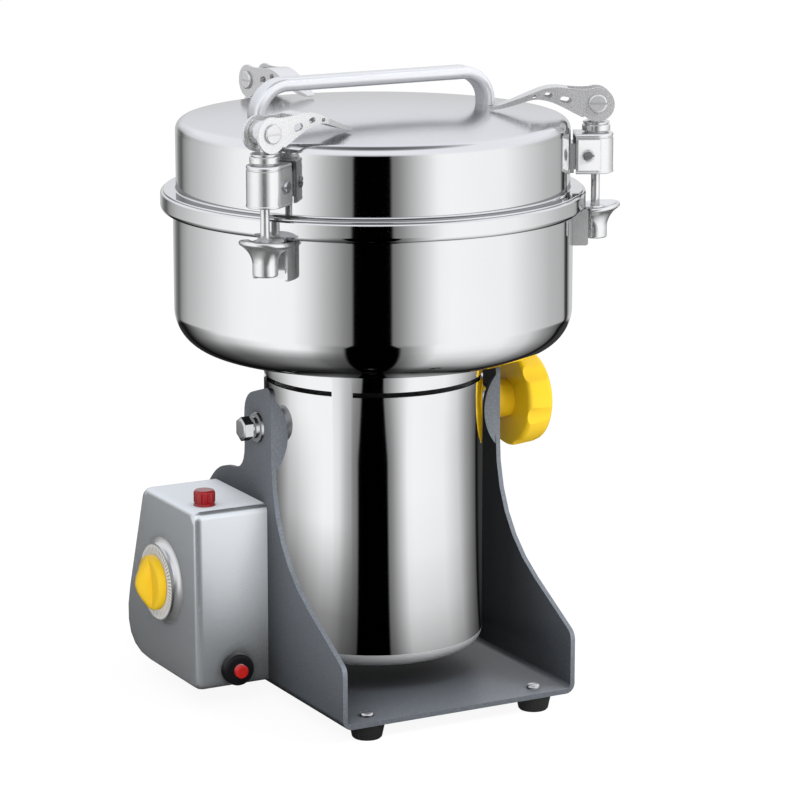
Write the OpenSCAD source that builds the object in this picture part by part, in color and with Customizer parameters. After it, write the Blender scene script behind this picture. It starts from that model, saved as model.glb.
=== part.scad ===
/* [Motor tube] */
// Outer radius of the motor tube
tube_r = 67; // [60:0.5:72]
// Wall of the motor tube
tube_t = 1.5; // [1:0.1:2.5]
// Depth of the tube's closed end below the pivot
tube_drop = 143; // [125:1:160]
// Rounding of the tube's closed end
cap_r = 8; // [5:0.5:12]
// Height of the air slots round the top of the tube
vent_h = 3; // [2:0.5:5]
// Width of the bridges between the air slots
vent_bridge = 13; // [8:1:20]

/* [Bowl and lid] */
// Outer radius of the grinding bowl
bowl_r = 121; // [112:1:130]
// Height of the bowl from its floor to the top of its rim
bowl_h = 96; // [85:1:115]
// Sheet of the bowl and the lid
drum_t = 1.2; // [0.8:0.1:2]
// Outer radius of the bowl's bottom corner
corner_r = 26; // [18:1:34]
// How far the rolled rim stands out of the bowl wall
rim_out = 7.6; // [6.6:0.1:9]
// Height of the rim's upright band
rim_h = 8; // [7:0.5:10]
// Height of the lid above the bowl's rim
lid_h = 43; // [38:1:52]
// Rounding of the lid's shoulder
shoulder_r = 10; // [7:0.5:13]
// Rise of the lid's dome
dome_h = 5; // [2:0.5:5.5]
// Gap between the lid's skirt and the bowl wall
lid_gap = 0.8; // [0.5:0.1:1]

/* [Stand] */
// Sheet of the stand
sheet_t = 3; // [2:0.5:4]
// Depth of the stand from front to back
stand_d = 222; // [200:1:250]
// Gap between the motor tube and each side plate
side_gap = 9; // [7.5:0.5:12]
// Rise from the pivot to the floor of the bowl
pivot_rise = 44; // [40:1:60]
// Least gap between the swinging tube and the base
swing_gap = 1.7; // [1:0.1:5]
// Height of the rubber feet
foot_h = 10; // [7:0.5:16]
// Radius of the rubber feet at the top
foot_r = 11; // [9:0.5:14]

/* [Control box] */
// Width of the control box away from the side plate
box_w = 48; // [42:1:60]
// Depth of the control box along its bottom
box_d = 115; // [100:1:125]
// Height of the control box
box_h = 111; // [95:1:120]
// Wall of the control box
box_t = 2; // [1.5:0.1:3]
// Radius of the timer's dial
dial_r = 23; // [20:0.5:26]
// Radius of the timer knob
timer_knob_r = 17; // [13:0.5:19]
// Radius of the overload cut-out
cutout_r = 9.8; // [8:0.2:11]
// Radius of the indicator lamp
lamp_r = 6.6; // [5:0.2:8]

/* [Latches] */
// Length of a latch lever from its pin to its tip
lever_len = 64; // [54:1:72]
// Radius of the lever's cam
cam_r = 10.3; // [9:0.1:11.5]
// Distance of the tie rods from the bowl wall
rod_out = 14; // [13.6:0.1:15.2]
// Radius of the tie rods
rod_r = 2.7; // [2.3:0.05:3.1]
// Turn of the three latches from the stand's own front
latch_turn = 5; // [0:1:12]
// Swivel of the front lever on its tie rod
lever_turn = -21; // [-25:1:0]

/* [Handle and lock knob] */
// Half of the handle's length over its outer faces
handle_l = 81.5; // [72:0.5:88]
// Height of the handle above the edge of the lid
handle_h = 27.5; // [24:0.5:40]
// Thickness of the handle bar
bar_t = 8; // [6:0.5:10]
// Width of the handle bar
bar_w = 14; // [10:0.5:18]
// Radius of the lock knob
knob_r = 30.5; // [25:0.5:33]

/* [Hidden] */

$fn = 72;

// Overrun of every cut
over = 1;
// Running gap of pins in their bores
run_gap = 0.05;
// Gap between pieces that lie against each other
seat_gap = 0.02;
// Gap between moving faces
face_gap = 0.3;

// Heights of the main pieces above the floor
base_z = foot_h + sheet_t;
pivot_z = base_z + swing_gap + cap_r + norm([tube_r - cap_r, tube_drop - cap_r]);
tube_z = pivot_z - tube_drop;
bowl_z = pivot_z + pivot_rise;
rim_z = bowl_z + bowl_h;
lid_z = rim_z + lid_h;

// Stand
half_w = tube_r + side_gap + sheet_t;
half_d = stand_d / 2;
bend_r = 2 * sheet_t;
toe_z = pivot_z * 0.28;
neck_w = 18.5;
arch_rise = 28.5;
toe_round = 8;
sweep_round = 92;
neck_round = 17;
hump_round = 44;
flange_gap = 0.8;
flange_l = 44;
foot_in_x = 22;
foot_in_y = 12;
foot_taper = 2;
screw_r = 2;
screw_head_r = 4;
screw_head_h = 2.2;
pivot_r = 4;
bolt_head_h = 5.3;
bolt_head_r = 7.5;
bolt_neck = 3.6;
washer_r = 9;
washer_t = 1.6;
boss_r = 11;

// Control box
box_front = -12;
box_z = foot_h + 3.6;
box_lean = 38;
box_edge = 5;
box_round = 30;
box_x = half_w + box_w;
wing_z = box_z + box_h + 3 * box_edge;
dial_y = box_front + box_d * 0.4;
dial_z = box_z + box_h * 0.525;
bezel_h = 5.5;
bezel_flare = 4;
dial_t = 0.8;
timer_r = 24;
timer_l = 26;
shaft_r = 3;
timer_knob_h = 5;
timer_grip_h = 13;
timer_grip_w = 10;
cutout_out = 6.5;
cutout_in_r = 7.4;
cutout_l = 26;
cutout_x = half_w + box_w * 0.46;
cutout_z = box_z + cutout_r + 1.6;
button_r = 4.2;
button_out = 3.6;
button_bore = 16;
lamp_x = half_w + box_w * 0.7;
lamp_y = box_front + 17;
lamp_h = 9.5;
lamp_neck_r = 4.8;
lamp_l = 20;
cord_r = 3.7;
bush_r = 6.5;
bush_flange_r = 9;
bush_l = 8;

// Drum
rim_drop = 2.5;
rim_lip_in = 1.2;
flare_h = 4;
skirt_l = 10;
bead_out = 2;
bead_h = 2.6;
gasket_h = 4;
hub_bore_r = 15;
flange_t = 5;
lid_r = bowl_r - drum_t - lid_gap;
rim_r = bowl_r + rim_out;

// Motor
tube_in_r = tube_r - tube_t;
motor_h = bowl_z - flange_t - tube_z;
stator_z = tube_z + motor_h * 0.32;
stator_h = motor_h * 0.32;
stator_in_r = tube_r * 0.5;
winding_h = stator_h * 0.1;
rotor_r = stator_in_r - 0.6;
low_shield_z = tube_z + motor_h * 0.12;
top_shield_z = tube_z + motor_h * 0.86;
shield_t = 5;
bearing_r = 13;
bearing_h = 9;
axle_r = 6;
comm_r = 14;
comm_z = tube_z + motor_h * 0.2;
comm_h = motor_h * 0.09;
fan_z = tube_z + motor_h * 0.71;
fan_h = motor_h * 0.08;
fan_r = tube_r * 0.84;
fan_hub_r = 14;
fan_blades = 9;
fan_blade_t = 1.6;
brush_w = 7;
seal_r = hub_bore_r - run_gap;
seal_h = 6;
flange_bolt_r = 2.5;
flange_bolt_ring = tube_r * 0.72;

// Blades
blade_l = bowl_r * 0.82;
blade_w = 24;
blade_t = 3;
blade_tip_rise = 12;
blade_gap = 16;
blade_hub_r = 13;
low_blade_z = bowl_z + flange_t + seal_h;
nut_h = 8;
nut_r = 10;
shaft_end = 8;

// Latches, in the plane of each latch: out from the drum's axis, sideways and up
front_a = -60 + latch_turn;
right_a = 60 + latch_turn;
rear_a = 180 + latch_turn;
LATCH_A = [front_a, right_a, rear_a];
rod_x = bowl_r + rod_out;
cam_drop = 0.8;
housing_h = 24.4;
housing_z = rim_z + 8.5;
housing_top = housing_z + housing_h;
housing_w = 10.6;
housing_in = 13;
plate_t = 2;
saddle_h = 6.7;
saddle_u = 8.6;
saddle_v = 7.6;
window_u = 5;
cam_z = housing_top + saddle_h + face_gap + cam_r;
pin_z = cam_z + cam_drop;
pin_r = 3;
pin_head_r = 5.6;
pin_head_h = 1.6;
eye_r = 7;
lever_w = 7.4;
lever_t = 1.8;
eye_v = lever_w - lever_t - lever_w * 0.06;
swing_x = rod_x - 5.7;
swing_z = housing_z + housing_h * 0.47;
ear_r = 5.5;
ear_back = 1.9;
mount_w = housing_w - plate_t - face_gap;
mount_h = 8;
claw_z = rim_z - 13.6;
claw_h = 18;
claw_r = 7.4;
claw_u_in = 3.8;
claw_rim_h = 2.2;
claw_rim_v = 15.6;
claw_rim_in = 4.9;
claw_rim_out = 14;
claw_tilt = 6.5;
tongue_u = 9.6;
tongue_v = 8.6;
tongue_pad = 3;
catch_h = 22;
catch_v = 11.4;
catch_t = 1.6;
catch_out = 8.7;

// Handle
bar_edge = 3.4;
handle_bend = 18;
handle_screw_r = 2;
handle_screw_l = 9;

// Lock knob
knob_hub_r = 12;
knob_hub_l = 14;
knob_h = 19;
knob_lobes = 7;
lobe_cut_r = 12;

// Outline of a lever from its cam to its tip, in shares of its length
lever_shares = [
  [0.02, 0.155], [-0.12, 0.146], [-0.24, 0.15], [-0.37, 0.17], [-0.5, 0.158], [-0.63, 0.105],
  [-0.78, 0.045], [-0.92, -0.005], [-1, -0.028], [-1.005, -0.052], [-0.9, -0.04], [-0.74, 0.01],
  [-0.6, 0.058], [-0.46, 0.038], [-0.34, -0.015], [-0.22, -0.08], [-0.1, -0.14]
];
// Half width of a lever along its length, in shares of its length
lever_plan_shares = [[0.2, 0.128], [-0.34, 0.128], [-0.66, 0.112], [-0.9, 0.07], [-1.01, 0.04]];
// Holes in the lever: place along, place up, length and height, in shares of its length
lever_hole_shares = [
  [-0.3, 0.045, 0.11, 0.062], [-0.465, 0.093, 0.075, 0.048], [-0.6, 0.083, 0.045, 0.034]
];

function unit(v) = v / norm(v);
function left_of(a, b) = let (u = unit(b - a)) [-u.y, u.x];
function mitre(p, i) = let (
  j = max(i - 1, 0), k = min(i, len(p) - 2),
  s = left_of(p[j], p[j + 1]) + left_of(p[k], p[k + 1])
) 2 * s / (s * s);
// A closed outline of a sheet that lies to the left of a path
function sheet(p, t) = concat(p, [for (i = [len(p) - 1 : -1 : 0]) p[i] + t * mitre(p, i)]);
function arc(c, r, a0, a1, n = 10) = [
  for (i = [0 : n]) c + r * [cos(a0 + (a1 - a0) * i / n), sin(a0 + (a1 - a0) * i / n)]
];
// A closed outline whose corners, given as place and radius, are rounded
function rounded(p, n = 6) = [
  for (i = [0 : len(p) - 1]) let (
    c = [p[i].x, p[i].y], r = p[i].z,
    a = p[(i + len(p) - 1) % len(p)], b = p[(i + 1) % len(p)],
    u = unit([a.x, a.y] - c), v = unit([b.x, b.y] - c),
    h = acos(u * v) / 2, l = r / tan(h)
  ) each (r == 0 ? [c] : [
    for (k = [0 : n]) let (s = k / n) (1 - s) * (1 - s) * (c + u * l) + 2 * s * (1 - s) * c + s * s * (c + v * l)
  ])
];
// One round of corner cutting on a closed outline
function cut_corners(p) = [
  for (i = [0 : len(p) - 1]) let (q = p[(i + 1) % len(p)]) each [0.75 * p[i] + 0.25 * q, 0.25 * p[i] + 0.75 * q]
];
function flare_low() = [bowl_r, rim_z - rim_h - flare_h - drum_t * 0.5];
function flare_high() = arc([rim_r - rim_drop, rim_z - rim_h + rim_drop - drum_t], rim_drop, 290, 360, 5)[0];
function flare_slope() = (flare_high().y - flare_low().y) / (flare_high().x - flare_low().x);
// Height of the channel's sloping floor inside the rim
function flare_z(r) = flare_low().y + (r - flare_low().x) * flare_slope() + drum_t * norm([1, flare_slope()]);
// Keeps an outline on its own side of the axis
function turned(p) = [for (q = p) [max(q.x, 0), q.y]];
function dome_z(r) = lid_z + dome_h * (1 - pow(r / (lid_r - shoulder_r), 2));

// Side view drawn in Y and Z, extruded along X from x
module side(x, l) { translate([x, 0, 0]) rotate([90, 0, 90]) linear_extrude(l) children(); }
module along_x(x, y, z, r, l) { translate([x, y, z]) rotate([0, 90, 0]) cylinder(r = r, h = l); }
module along_y(x, y, z, r, l) { translate([x, y, z]) rotate([-90, 0, 0]) cylinder(r = r, h = l); }
module ring(r_out, r_in, h) {
  difference() {
    cylinder(r = r_out, h = h);
    translate([0, 0, -over]) cylinder(r = r_in, h = h + 2 * over);
  }
}
// Places a latch piece, drawn out along X, at its angle round the drum
module at_latch(a) { rotate([0, 0, a - 90]) children(); }
module swivel(turn) { translate([rod_x, 0, 0]) rotate([0, 0, turn]) translate([-rod_x, 0, 0]) children(); }

// Front outline of a side plate, from the toe up to the neck
function plate_front(s) = [
  [s * half_d, foot_h, 0], [s * half_d, toe_z, toe_round], [s * neck_w, pivot_z * 0.576, sweep_round]
];
function plate_arch() = [[-neck_w, pivot_z + arch_rise, arch_rise * 0.22], [neck_w, pivot_z + arch_rise * 0.6, neck_round]];
function plate_wing() = [
  [neck_w, wing_z, neck_round], [half_d * 0.5, wing_z * 0.972, hump_round],
  [half_d * 0.72, wing_z * 0.8, toe_round], [half_d * 0.9, toe_z * 1.05, toe_round],
  [half_d, toe_z * 0.94, toe_round / 2], [half_d, foot_h, 0]
];
function reverse(p) = [for (i = [len(p) - 1 : -1 : 0]) p[i]];

module plate_outline(wing) {
  polygon(rounded(concat(plate_front(-1), plate_arch(), wing ? plate_wing() : reverse(plate_front(1)))));
}

module channel() {
  top = pivot_z + 2 * arch_rise;
  translate([0, half_d, 0]) rotate([90, 0, 0]) linear_extrude(stand_d) polygon(sheet(concat(
    [[-half_w, top]],
    arc([-half_w + bend_r, foot_h + bend_r], bend_r, 180, 270),
    arc([half_w - bend_r, foot_h + bend_r], bend_r, 270, 360),
    [[half_w, top]]
  ), sheet_t));
}

// Inward lip along the front edge of a side plate, beside the pivot
module edge_lip(s) {
  mid = pivot_z - 0.05 * flange_l;
  reach = side_gap - flange_gap;
  sweep = (flange_l * flange_l / 4 + reach * reach) / (2 * reach);
  scale([s, 1, 1]) intersection() {
    translate([0, 0, mid - flange_l / 2]) linear_extrude(flange_l) polygon(concat(
      arc([half_w - sheet_t, -neck_w + sheet_t], sheet_t, 0, -90, 6),
      [[half_w - sheet_t - reach, -neck_w], [half_w - sheet_t - reach, -neck_w + sheet_t],
       [half_w - sheet_t, -neck_w + sheet_t]]
    ));
    along_y(half_w - sheet_t - reach + sweep, -neck_w - over, mid, sweep, sheet_t + 2 * over);
  }
}

module stand_frame() {
  color("slategray") difference() {
    union() {
      intersection() {
        channel();
        union() {
          side(-half_w - over, half_w + over) plate_outline(true);
          side(0, half_w + over) plate_outline(false);
        }
      }
      for (s = [-1, 1]) edge_lip(s);
    }
    along_x(-half_w - over, 0, pivot_z, pivot_r + run_gap, 2 * (half_w + over));
    for (p = FOOT_AT) translate([p.x, p.y, foot_h - over]) cylinder(r = screw_r + run_gap, h = sheet_t + 2 * over);
    for (p = BOX_SCREW_AT) along_x(-half_w - over, p.x, p.y, screw_r + run_gap, sheet_t + 2 * over);
  }
}

FOOT_AT = [for (i = [-1, 1], j = [-1, 1]) [i * (half_w - foot_in_x), j * (half_d - foot_in_y)]];
BOX_SCREW_AT = [
  [box_front + 1.1 * box_edge, box_z + 3 * box_edge],
  [box_front + 1.1 * box_edge, box_z + box_h - 3 * box_edge],
  [box_front + box_d - box_lean - 4 * box_edge, box_z + 1.34 * box_edge],
  [box_front + box_d - 2 * box_lean, box_z + box_h - 1.1 * box_edge]
];

module feet() {
  color("#1b1b1d") for (p = FOOT_AT) translate([p.x, p.y, 0]) difference() {
    rotate_extrude() polygon([
      [0, 0], [foot_r - foot_taper - foot_h / 12, 0], [foot_r - foot_taper, foot_h / 12],
      [foot_r, foot_h], [0, foot_h]
    ]);
    translate([0, 0, foot_h / 3]) cylinder(r = screw_r + run_gap, h = foot_h);
  }
}

module foot_screws() {
  color("silver") for (p = FOOT_AT) translate([p.x, p.y, 0]) {
    translate([0, 0, foot_h / 3 + over]) cylinder(r = screw_r, h = base_z - foot_h / 3 - over + seat_gap);
    translate([0, 0, base_z + seat_gap]) pan_head(screw_head_r, screw_head_h, screw_head_r * 0.25);
  }
}

// Round screw head with a straight slot
module pan_head(r, h, slot) {
  difference() {
    rotate_extrude() polygon(concat([[0, 0]], arc([r - h * 0.6, h * 0.4], h * 0.6, 0, 90, 5), [[0, h]], [[0, 0]]));
    translate([-r, -slot / 2, h * 0.55]) cube([2 * r, slot, h]);
  }
  translate([0, 0, 0]) cylinder(r = r, h = h * 0.4);
}

// Bolt, plain washer and spring washer of the left pivot
module pivot_fasteners() {
  color("lightsteelblue") translate([-half_w - seat_gap, 0, pivot_z]) rotate([0, -90, 0]) {
    ring(washer_r, pivot_r + run_gap, washer_t);
    translate([0, 0, washer_t + seat_gap]) difference() {
      ring(washer_r * 0.72, pivot_r + run_gap, washer_t * 1.4);
      rotate([0, 0, 30]) translate([0, -washer_t / 4, -over]) cube([washer_r, washer_t / 2, washer_t * 2 + 2 * over]);
    }
    translate([0, 0, washer_t * 2.4 + bolt_neck - washer_t]) {
      cylinder(r = bolt_head_r, h = bolt_head_h, $fn = 6);
      translate([0, 0, bolt_head_h]) cylinder(r1 = bolt_head_r * 0.86, r2 = bolt_head_r * 0.7, h = bolt_head_h * 0.12);
    }
    translate([0, 0, -sheet_t - side_gap + face_gap * 2])
      cylinder(r = pivot_r, h = sheet_t + side_gap + washer_t * 1.4 + bolt_neck);
  }
}

module box_outline(inset) {
  polygon(rounded([
    [box_front + inset, box_z + inset, box_edge * 0.8], [box_front + inset, box_z + box_h - inset, box_edge],
    [box_front + box_d - box_lean - inset * 0.85, box_z + box_h - inset, box_edge * 1.8],
    [box_front + box_d - inset * 1.2, box_z + inset, box_round]
  ]));
}

module control_box() {
  boss_l = box_t * 4;
  color("lightgray") difference() {
    union() {
      difference() {
        hull() {
          side(-box_x + box_edge, box_w - box_edge - seat_gap) box_outline(0);
          for (k = [0 : 3]) side(-box_x + box_edge * (1 - sin(90 * k / 3)), over / 20)
            box_outline(box_edge * (1 - cos(90 * k / 3)) * 0.6);
        }
        side(-box_x + box_t, box_w) box_outline(box_t);
      }
      for (p = BOX_SCREW_AT) along_x(-half_w - boss_l, p.x, p.y, screw_r * 2.6, boss_l - seat_gap);
    }
    for (p = BOX_SCREW_AT) along_x(-half_w - boss_l * 0.8, p.x, p.y, screw_r + run_gap, boss_l);
    along_x(-box_x - over, dial_y, dial_z, dial_r * 0.8, box_t + 2 * over);
    along_y(-cutout_x, box_front - over, cutout_z, cutout_in_r + run_gap, box_t + 2 * over);
    translate([-lamp_x, lamp_y, box_z + box_h - box_t - over]) cylinder(r = lamp_neck_r + run_gap, h = box_t + 2 * over);
    bush_place() translate([0, 0, -bush_l]) cylinder(r = bush_r + run_gap, h = 2 * bush_l);
  }
}

module box_screws() {
  color("silver") for (p = BOX_SCREW_AT) translate([-half_w + sheet_t + seat_gap, p.x, p.y]) rotate([0, 90, 0]) {
    pan_head(screw_head_r, screw_head_h, screw_head_r * 0.25);
    translate([0, 0, -sheet_t - box_t * 2.5]) cylinder(r = screw_r, h = sheet_t + box_t * 2.5 + seat_gap);
  }
}

module timer_bezel() {
  color("gainsboro") translate([-box_x - seat_gap, dial_y, dial_z]) rotate([0, -90, 0]) rotate_extrude() polygon(concat(
    [[shaft_r + run_gap * 2, 0], [dial_r + bezel_flare, 0]],
    arc([dial_r + bezel_flare, bezel_h * 0.8], bezel_h * 0.8, 270, 195, 5),
    [[dial_r + bezel_h * 0.2, bezel_h], [dial_r + run_gap, bezel_h], [dial_r + run_gap, bezel_h - dial_t],
     [shaft_r + run_gap * 2, bezel_h - dial_t]]
  ));
}

module dial_plate() {
  color("white") translate([-box_x - bezel_h + dial_t - 2 * seat_gap, dial_y, dial_z]) rotate([0, -90, 0])
    ring(dial_r, shaft_r + run_gap * 2, dial_t);
}

module timer_body() {
  color("dimgray") translate([-box_x + box_t + seat_gap, dial_y, dial_z]) rotate([0, 90, 0]) difference() {
    union() {
      cylinder(r = timer_r * 0.9, h = timer_l);
      translate([-timer_r * 0.6, -timer_r * 0.75, timer_l]) cube([timer_r * 1.2, timer_r * 1.5, timer_l * 0.2]);
    }
    translate([0, 0, -over]) cylinder(r = shaft_r + run_gap * 2, h = timer_l * 0.6 + over);
  }
}

module timer_shaft() {
  color("silver") translate([-box_x - bezel_h - timer_knob_h * 0.8, dial_y, dial_z]) rotate([0, 90, 0])
    cylinder(r = shaft_r, h = bezel_h + timer_knob_h * 0.8 + box_t + timer_l * 0.55);
}

// Round knob with an arched grip across it
module timer_knob() {
  grip = timer_grip_h;
  grip_arch = timer_knob_r * 0.96;
  color("gold") translate([-box_x - bezel_h - face_gap * 1.5, dial_y, dial_z]) rotate([0, -90, 0]) rotate([0, 0, 8]) difference() {
    union() {
      rotate_extrude() polygon(concat(
        [[0, 0], [timer_knob_r, 0]],
        arc([timer_knob_r - timer_knob_h * 0.5, timer_knob_h * 0.5], timer_knob_h * 0.5, 0, 90, 5),
        [[0, timer_knob_h]]
      ));
      intersection() {
        cylinder(r = timer_knob_r * 0.97, h = grip + over);
        translate([0, timer_grip_w / 2, timer_knob_h * 0.5]) rotate([90, 0, 0])
          cylinder(r = grip_arch, h = timer_grip_w);
        translate([0, 0, timer_knob_h * 0.5]) rotate([0, 90, 0])
          translate([0, 0, -timer_knob_r]) cylinder(r = grip - timer_knob_h * 0.5, h = 2 * timer_knob_r);
      }
    }
    translate([0, 0, -over]) cylinder(r = shaft_r + seat_gap, h = timer_knob_h * 0.82 + over);
  }
}

module lamp_lens() {
  color("red") translate([-lamp_x, lamp_y, box_z + box_h + seat_gap]) difference() {
    intersection() {
      rotate_extrude() polygon([
        [0, 0], [lamp_r, 0], [lamp_r, lamp_h * 0.1], [lamp_r * 0.95, lamp_h * 0.14], [lamp_r, lamp_h * 0.5],
        [lamp_r * 0.97, lamp_h * 0.85], [lamp_r * 0.86, lamp_h], [0, lamp_h]
      ]);
      translate([0, 0, -over]) cylinder(r = lamp_r * 1.02, h = lamp_h + 2 * over, $fn = 12);
    }
    translate([0, 0, -over]) cylinder(r = lamp_neck_r * 0.6, h = lamp_h * 0.5 + over);
  }
}

module lamp_body() {
  color("dimgray") translate([-lamp_x, lamp_y, box_z + box_h - lamp_l]) {
    cylinder(r = lamp_neck_r, h = lamp_l);
    translate([0, 0, lamp_l - box_t - lamp_l * 0.15 - seat_gap])
      cylinder(r = lamp_r, h = lamp_l * 0.15, $fn = 6);
    translate([0, 0, lamp_l]) cylinder(r = lamp_neck_r * 0.55, h = lamp_h * 0.45);
  }
}

module cutout_body() {
  color("#202022") translate([-cutout_x, box_front - seat_gap, cutout_z]) rotate([90, 0, 0]) difference() {
    union() {
      rotate_extrude() polygon(concat(
        [[0, 0], [cutout_r, 0], [cutout_r, cutout_out * 0.45]],
        arc([cutout_r - cutout_out * 0.3, cutout_out * 0.7], cutout_out * 0.3, 0, 90, 4),
        [[0, cutout_out]]
      ));
      translate([0, 0, -cutout_l]) cylinder(r = cutout_in_r, h = cutout_l);
    }
    translate([0, 0, cutout_out - button_bore]) cylinder(r = button_r + run_gap, h = button_bore + over);
  }
}

module reset_button() {
  l = button_out + button_bore * 0.6;
  color("red") translate([-cutout_x, box_front - cutout_out - button_out, cutout_z]) rotate([-90, 0, 0])
    rotate_extrude() polygon(concat(
      [[0, 0]], arc([button_r * 0.75, button_r * 0.25], button_r * 0.25, 270, 360, 4), [[button_r, l], [0, l]]
    ));
}

// Place of the cord bush on the leaning back of the box, with +Z out of the wall
module bush_place() {
  lean = atan2(box_lean, box_h);
  translate([-half_w - box_w * 0.55, box_front + box_d - box_lean * 0.5, box_z + box_h * 0.5])
    rotate([lean, 0, 0]) rotate([-90, 0, 0]) children();
}

module cord_bush() {
  color("#202022") bush_place() difference() {
    union() {
      translate([0, 0, seat_gap]) cylinder(r = bush_flange_r, h = bush_l * 0.3);
      translate([0, 0, bush_l * 0.25]) cylinder(r1 = bush_r, r2 = bush_r * 0.82, h = bush_l * 1.6);
      translate([0, 0, -bush_l * 0.7]) cylinder(r = bush_r, h = bush_l);
    }
    translate([0, 0, -bush_l]) cylinder(r = cord_r, h = bush_l * 4);
  }
}

module lock_knob() {
  color("gold") translate([half_w + face_gap, 0, pivot_z]) rotate([0, 90, 0]) difference() {
    union() {
      cylinder(r = knob_hub_r, h = knob_hub_l + knob_h / 2);
      translate([0, 0, knob_hub_l]) rotate_extrude() polygon(concat(
        [[0, 0], [knob_r * 0.86, 0]],
        arc([knob_r - knob_h * 0.15, knob_h * 0.15], knob_h * 0.15, 270, 360, 4),
        arc([knob_r * 0.965 - knob_h * 0.25, knob_h * 0.75], knob_h * 0.25, 0, 90, 4),
        [[knob_r * 0.4, knob_h], [knob_r * 0.3, knob_h * 0.9], [0, knob_h * 0.9]]
      ));
    }
    for (i = [0 : knob_lobes - 1]) rotate([0, 0, (i + 0.5) * 360 / knob_lobes])
      translate([knob_r + lobe_cut_r * 0.84, 0, knob_hub_l - over]) cylinder(r = lobe_cut_r, h = knob_h + 2 * over);
    translate([0, 0, -over]) cylinder(r = pivot_r + seat_gap, h = knob_hub_l * 0.9 + over);
  }
}

module lock_stud() {
  color("silver") along_x(half_w - sheet_t - side_gap + face_gap * 2, 0, pivot_z, pivot_r,
    side_gap + sheet_t + knob_hub_l * 0.88 - face_gap);
}

// Steel bosses on the tube that turn on the bolt and the stud
module trunnions() {
  color("darkgray") for (s = [-1, 1]) difference() {
    along_x(s > 0 ? tube_r - tube_t * 0.5 : -half_w + sheet_t + face_gap, 0, pivot_z, boss_r,
      side_gap - face_gap + tube_t * 0.5);
    translate([0, 0, pivot_z - boss_r * 2]) cylinder(r = tube_r + seat_gap, h = boss_r * 4);
    along_x(s > 0 ? tube_r - over : -half_w, 0, pivot_z, pivot_r + run_gap, side_gap + sheet_t + over);
  }
}

function bowl_path() = concat(
  [[hub_bore_r, bowl_z]],
  arc([bowl_r - corner_r, bowl_z + corner_r], corner_r, 270, 360, 12),
  [[bowl_r, rim_z - rim_h - flare_h - drum_t * 0.5]],
  arc([rim_r - rim_drop, rim_z - rim_h + rim_drop - drum_t], rim_drop, 290, 360, 5),
  arc([rim_r - drum_t * 1.2, rim_z - drum_t * 1.2], drum_t * 1.2, 0, 90, 4),
  [[bowl_r + rim_lip_in, rim_z]]
);

module bowl() {
  color("silver") rotate_extrude($fn = 144) polygon(sheet(bowl_path(), drum_t));
}

gasket_in = lid_r + lid_gap + over / 10;
gasket_out = rim_r - drum_t - over / 10;
gasket_top = flare_high().y + gasket_h;

// Soft ring in the channel of the bowl's rim
module rim_gasket() {
  bend = flare_high().x - rim_drop * 0.8;
  color("whitesmoke") rotate_extrude($fn = 144) polygon([
    [gasket_in, flare_z(gasket_in) + 3 * seat_gap], [bend, flare_z(bend) + 3 * seat_gap],
    [gasket_out, flare_high().y + rim_drop], [gasket_out, gasket_top], [gasket_in, gasket_top]
  ]);
}

// Cast flange that carries the bowl on the tube
module bowl_flange() {
  color("darkgray") difference() {
    union() {
      translate([0, 0, bowl_z - flange_t]) cylinder(r = tube_r - tube_t - run_gap, h = flange_t - seat_gap);
      translate([0, 0, bowl_z - flange_t * 0.5]) cylinder(r = tube_r * 1.12, h = flange_t * 0.5 - seat_gap);
    }
    translate([0, 0, bowl_z - flange_t * 2]) cylinder(r = hub_bore_r, h = flange_t * 3);
    for (i = [0 : 3]) rotate([0, 0, i * 90 + 45]) translate([flange_bolt_ring, 0, bowl_z - flange_t * 2])
      cylinder(r = flange_bolt_r + run_gap, h = flange_t * 3);
  }
}

module flange_screws() {
  color("silver") for (i = [0 : 3]) rotate([0, 0, i * 90 + 45]) translate([flange_bolt_ring, 0, 0]) {
    translate([0, 0, bowl_z - flange_t - screw_head_h * 2 - seat_gap])
      cylinder(r = flange_bolt_r * 1.9, h = screw_head_h * 2, $fn = 6);
    translate([0, 0, bowl_z - flange_t - seat_gap * 2]) cylinder(r = flange_bolt_r, h = flange_t - seat_gap);
  }
}

module shaft_seal() {
  color("#303033") translate([0, 0, bowl_z - flange_t]) difference() {
    union() {
      cylinder(r = seal_r, h = flange_t + drum_t + seat_gap);
      translate([0, 0, flange_t + drum_t + seat_gap]) cylinder(r1 = seal_r * 1.35, r2 = seal_r * 0.8, h = seal_h * 0.6);
    }
    translate([0, 0, -over]) cylinder(r = axle_r + run_gap, h = flange_t + drum_t + seal_h * 2 + over);
  }
}

module motor_tube() {
  low = tube_z + cap_r + over / 4 + 2 * seat_gap;
  slot_z = bowl_z - flange_t * 0.5 - vent_h - 14;
  bridge_a = vent_bridge / tube_r * 180 / PI;
  color("silver") difference() {
    translate([0, 0, low]) ring(tube_r, tube_in_r, bowl_z - flange_t * 0.5 - seat_gap - low);
    for (i = [0 : 2]) rotate([0, 0, -90 - 44 + bridge_a / 2 + i * 120])
      translate([0, 0, slot_z]) rotate_extrude(angle = 120 - bridge_a, $fn = 144)
        polygon([[tube_in_r - over, 0], [tube_r + over, 0], [tube_r + over, vent_h], [tube_in_r - over, vent_h]]);
  }
}

module tube_base() {
  color("silver") difference() {
    rotate_extrude($fn = 144) polygon(turned(sheet(concat(
      [[0, tube_z]],
      arc([tube_r - cap_r, tube_z + cap_r], cap_r, 270, 360, 8),
      [[tube_r, tube_z + cap_r + over / 4]]
    ), tube_t)));
    for (i = [0 : 11]) rotate([0, 0, i * 30]) translate([tube_r * 0.5, 0, tube_z - over])
      cylinder(r = vent_h * 0.8, h = tube_t + 2 * over, $fn = 16);
  }
}

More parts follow.
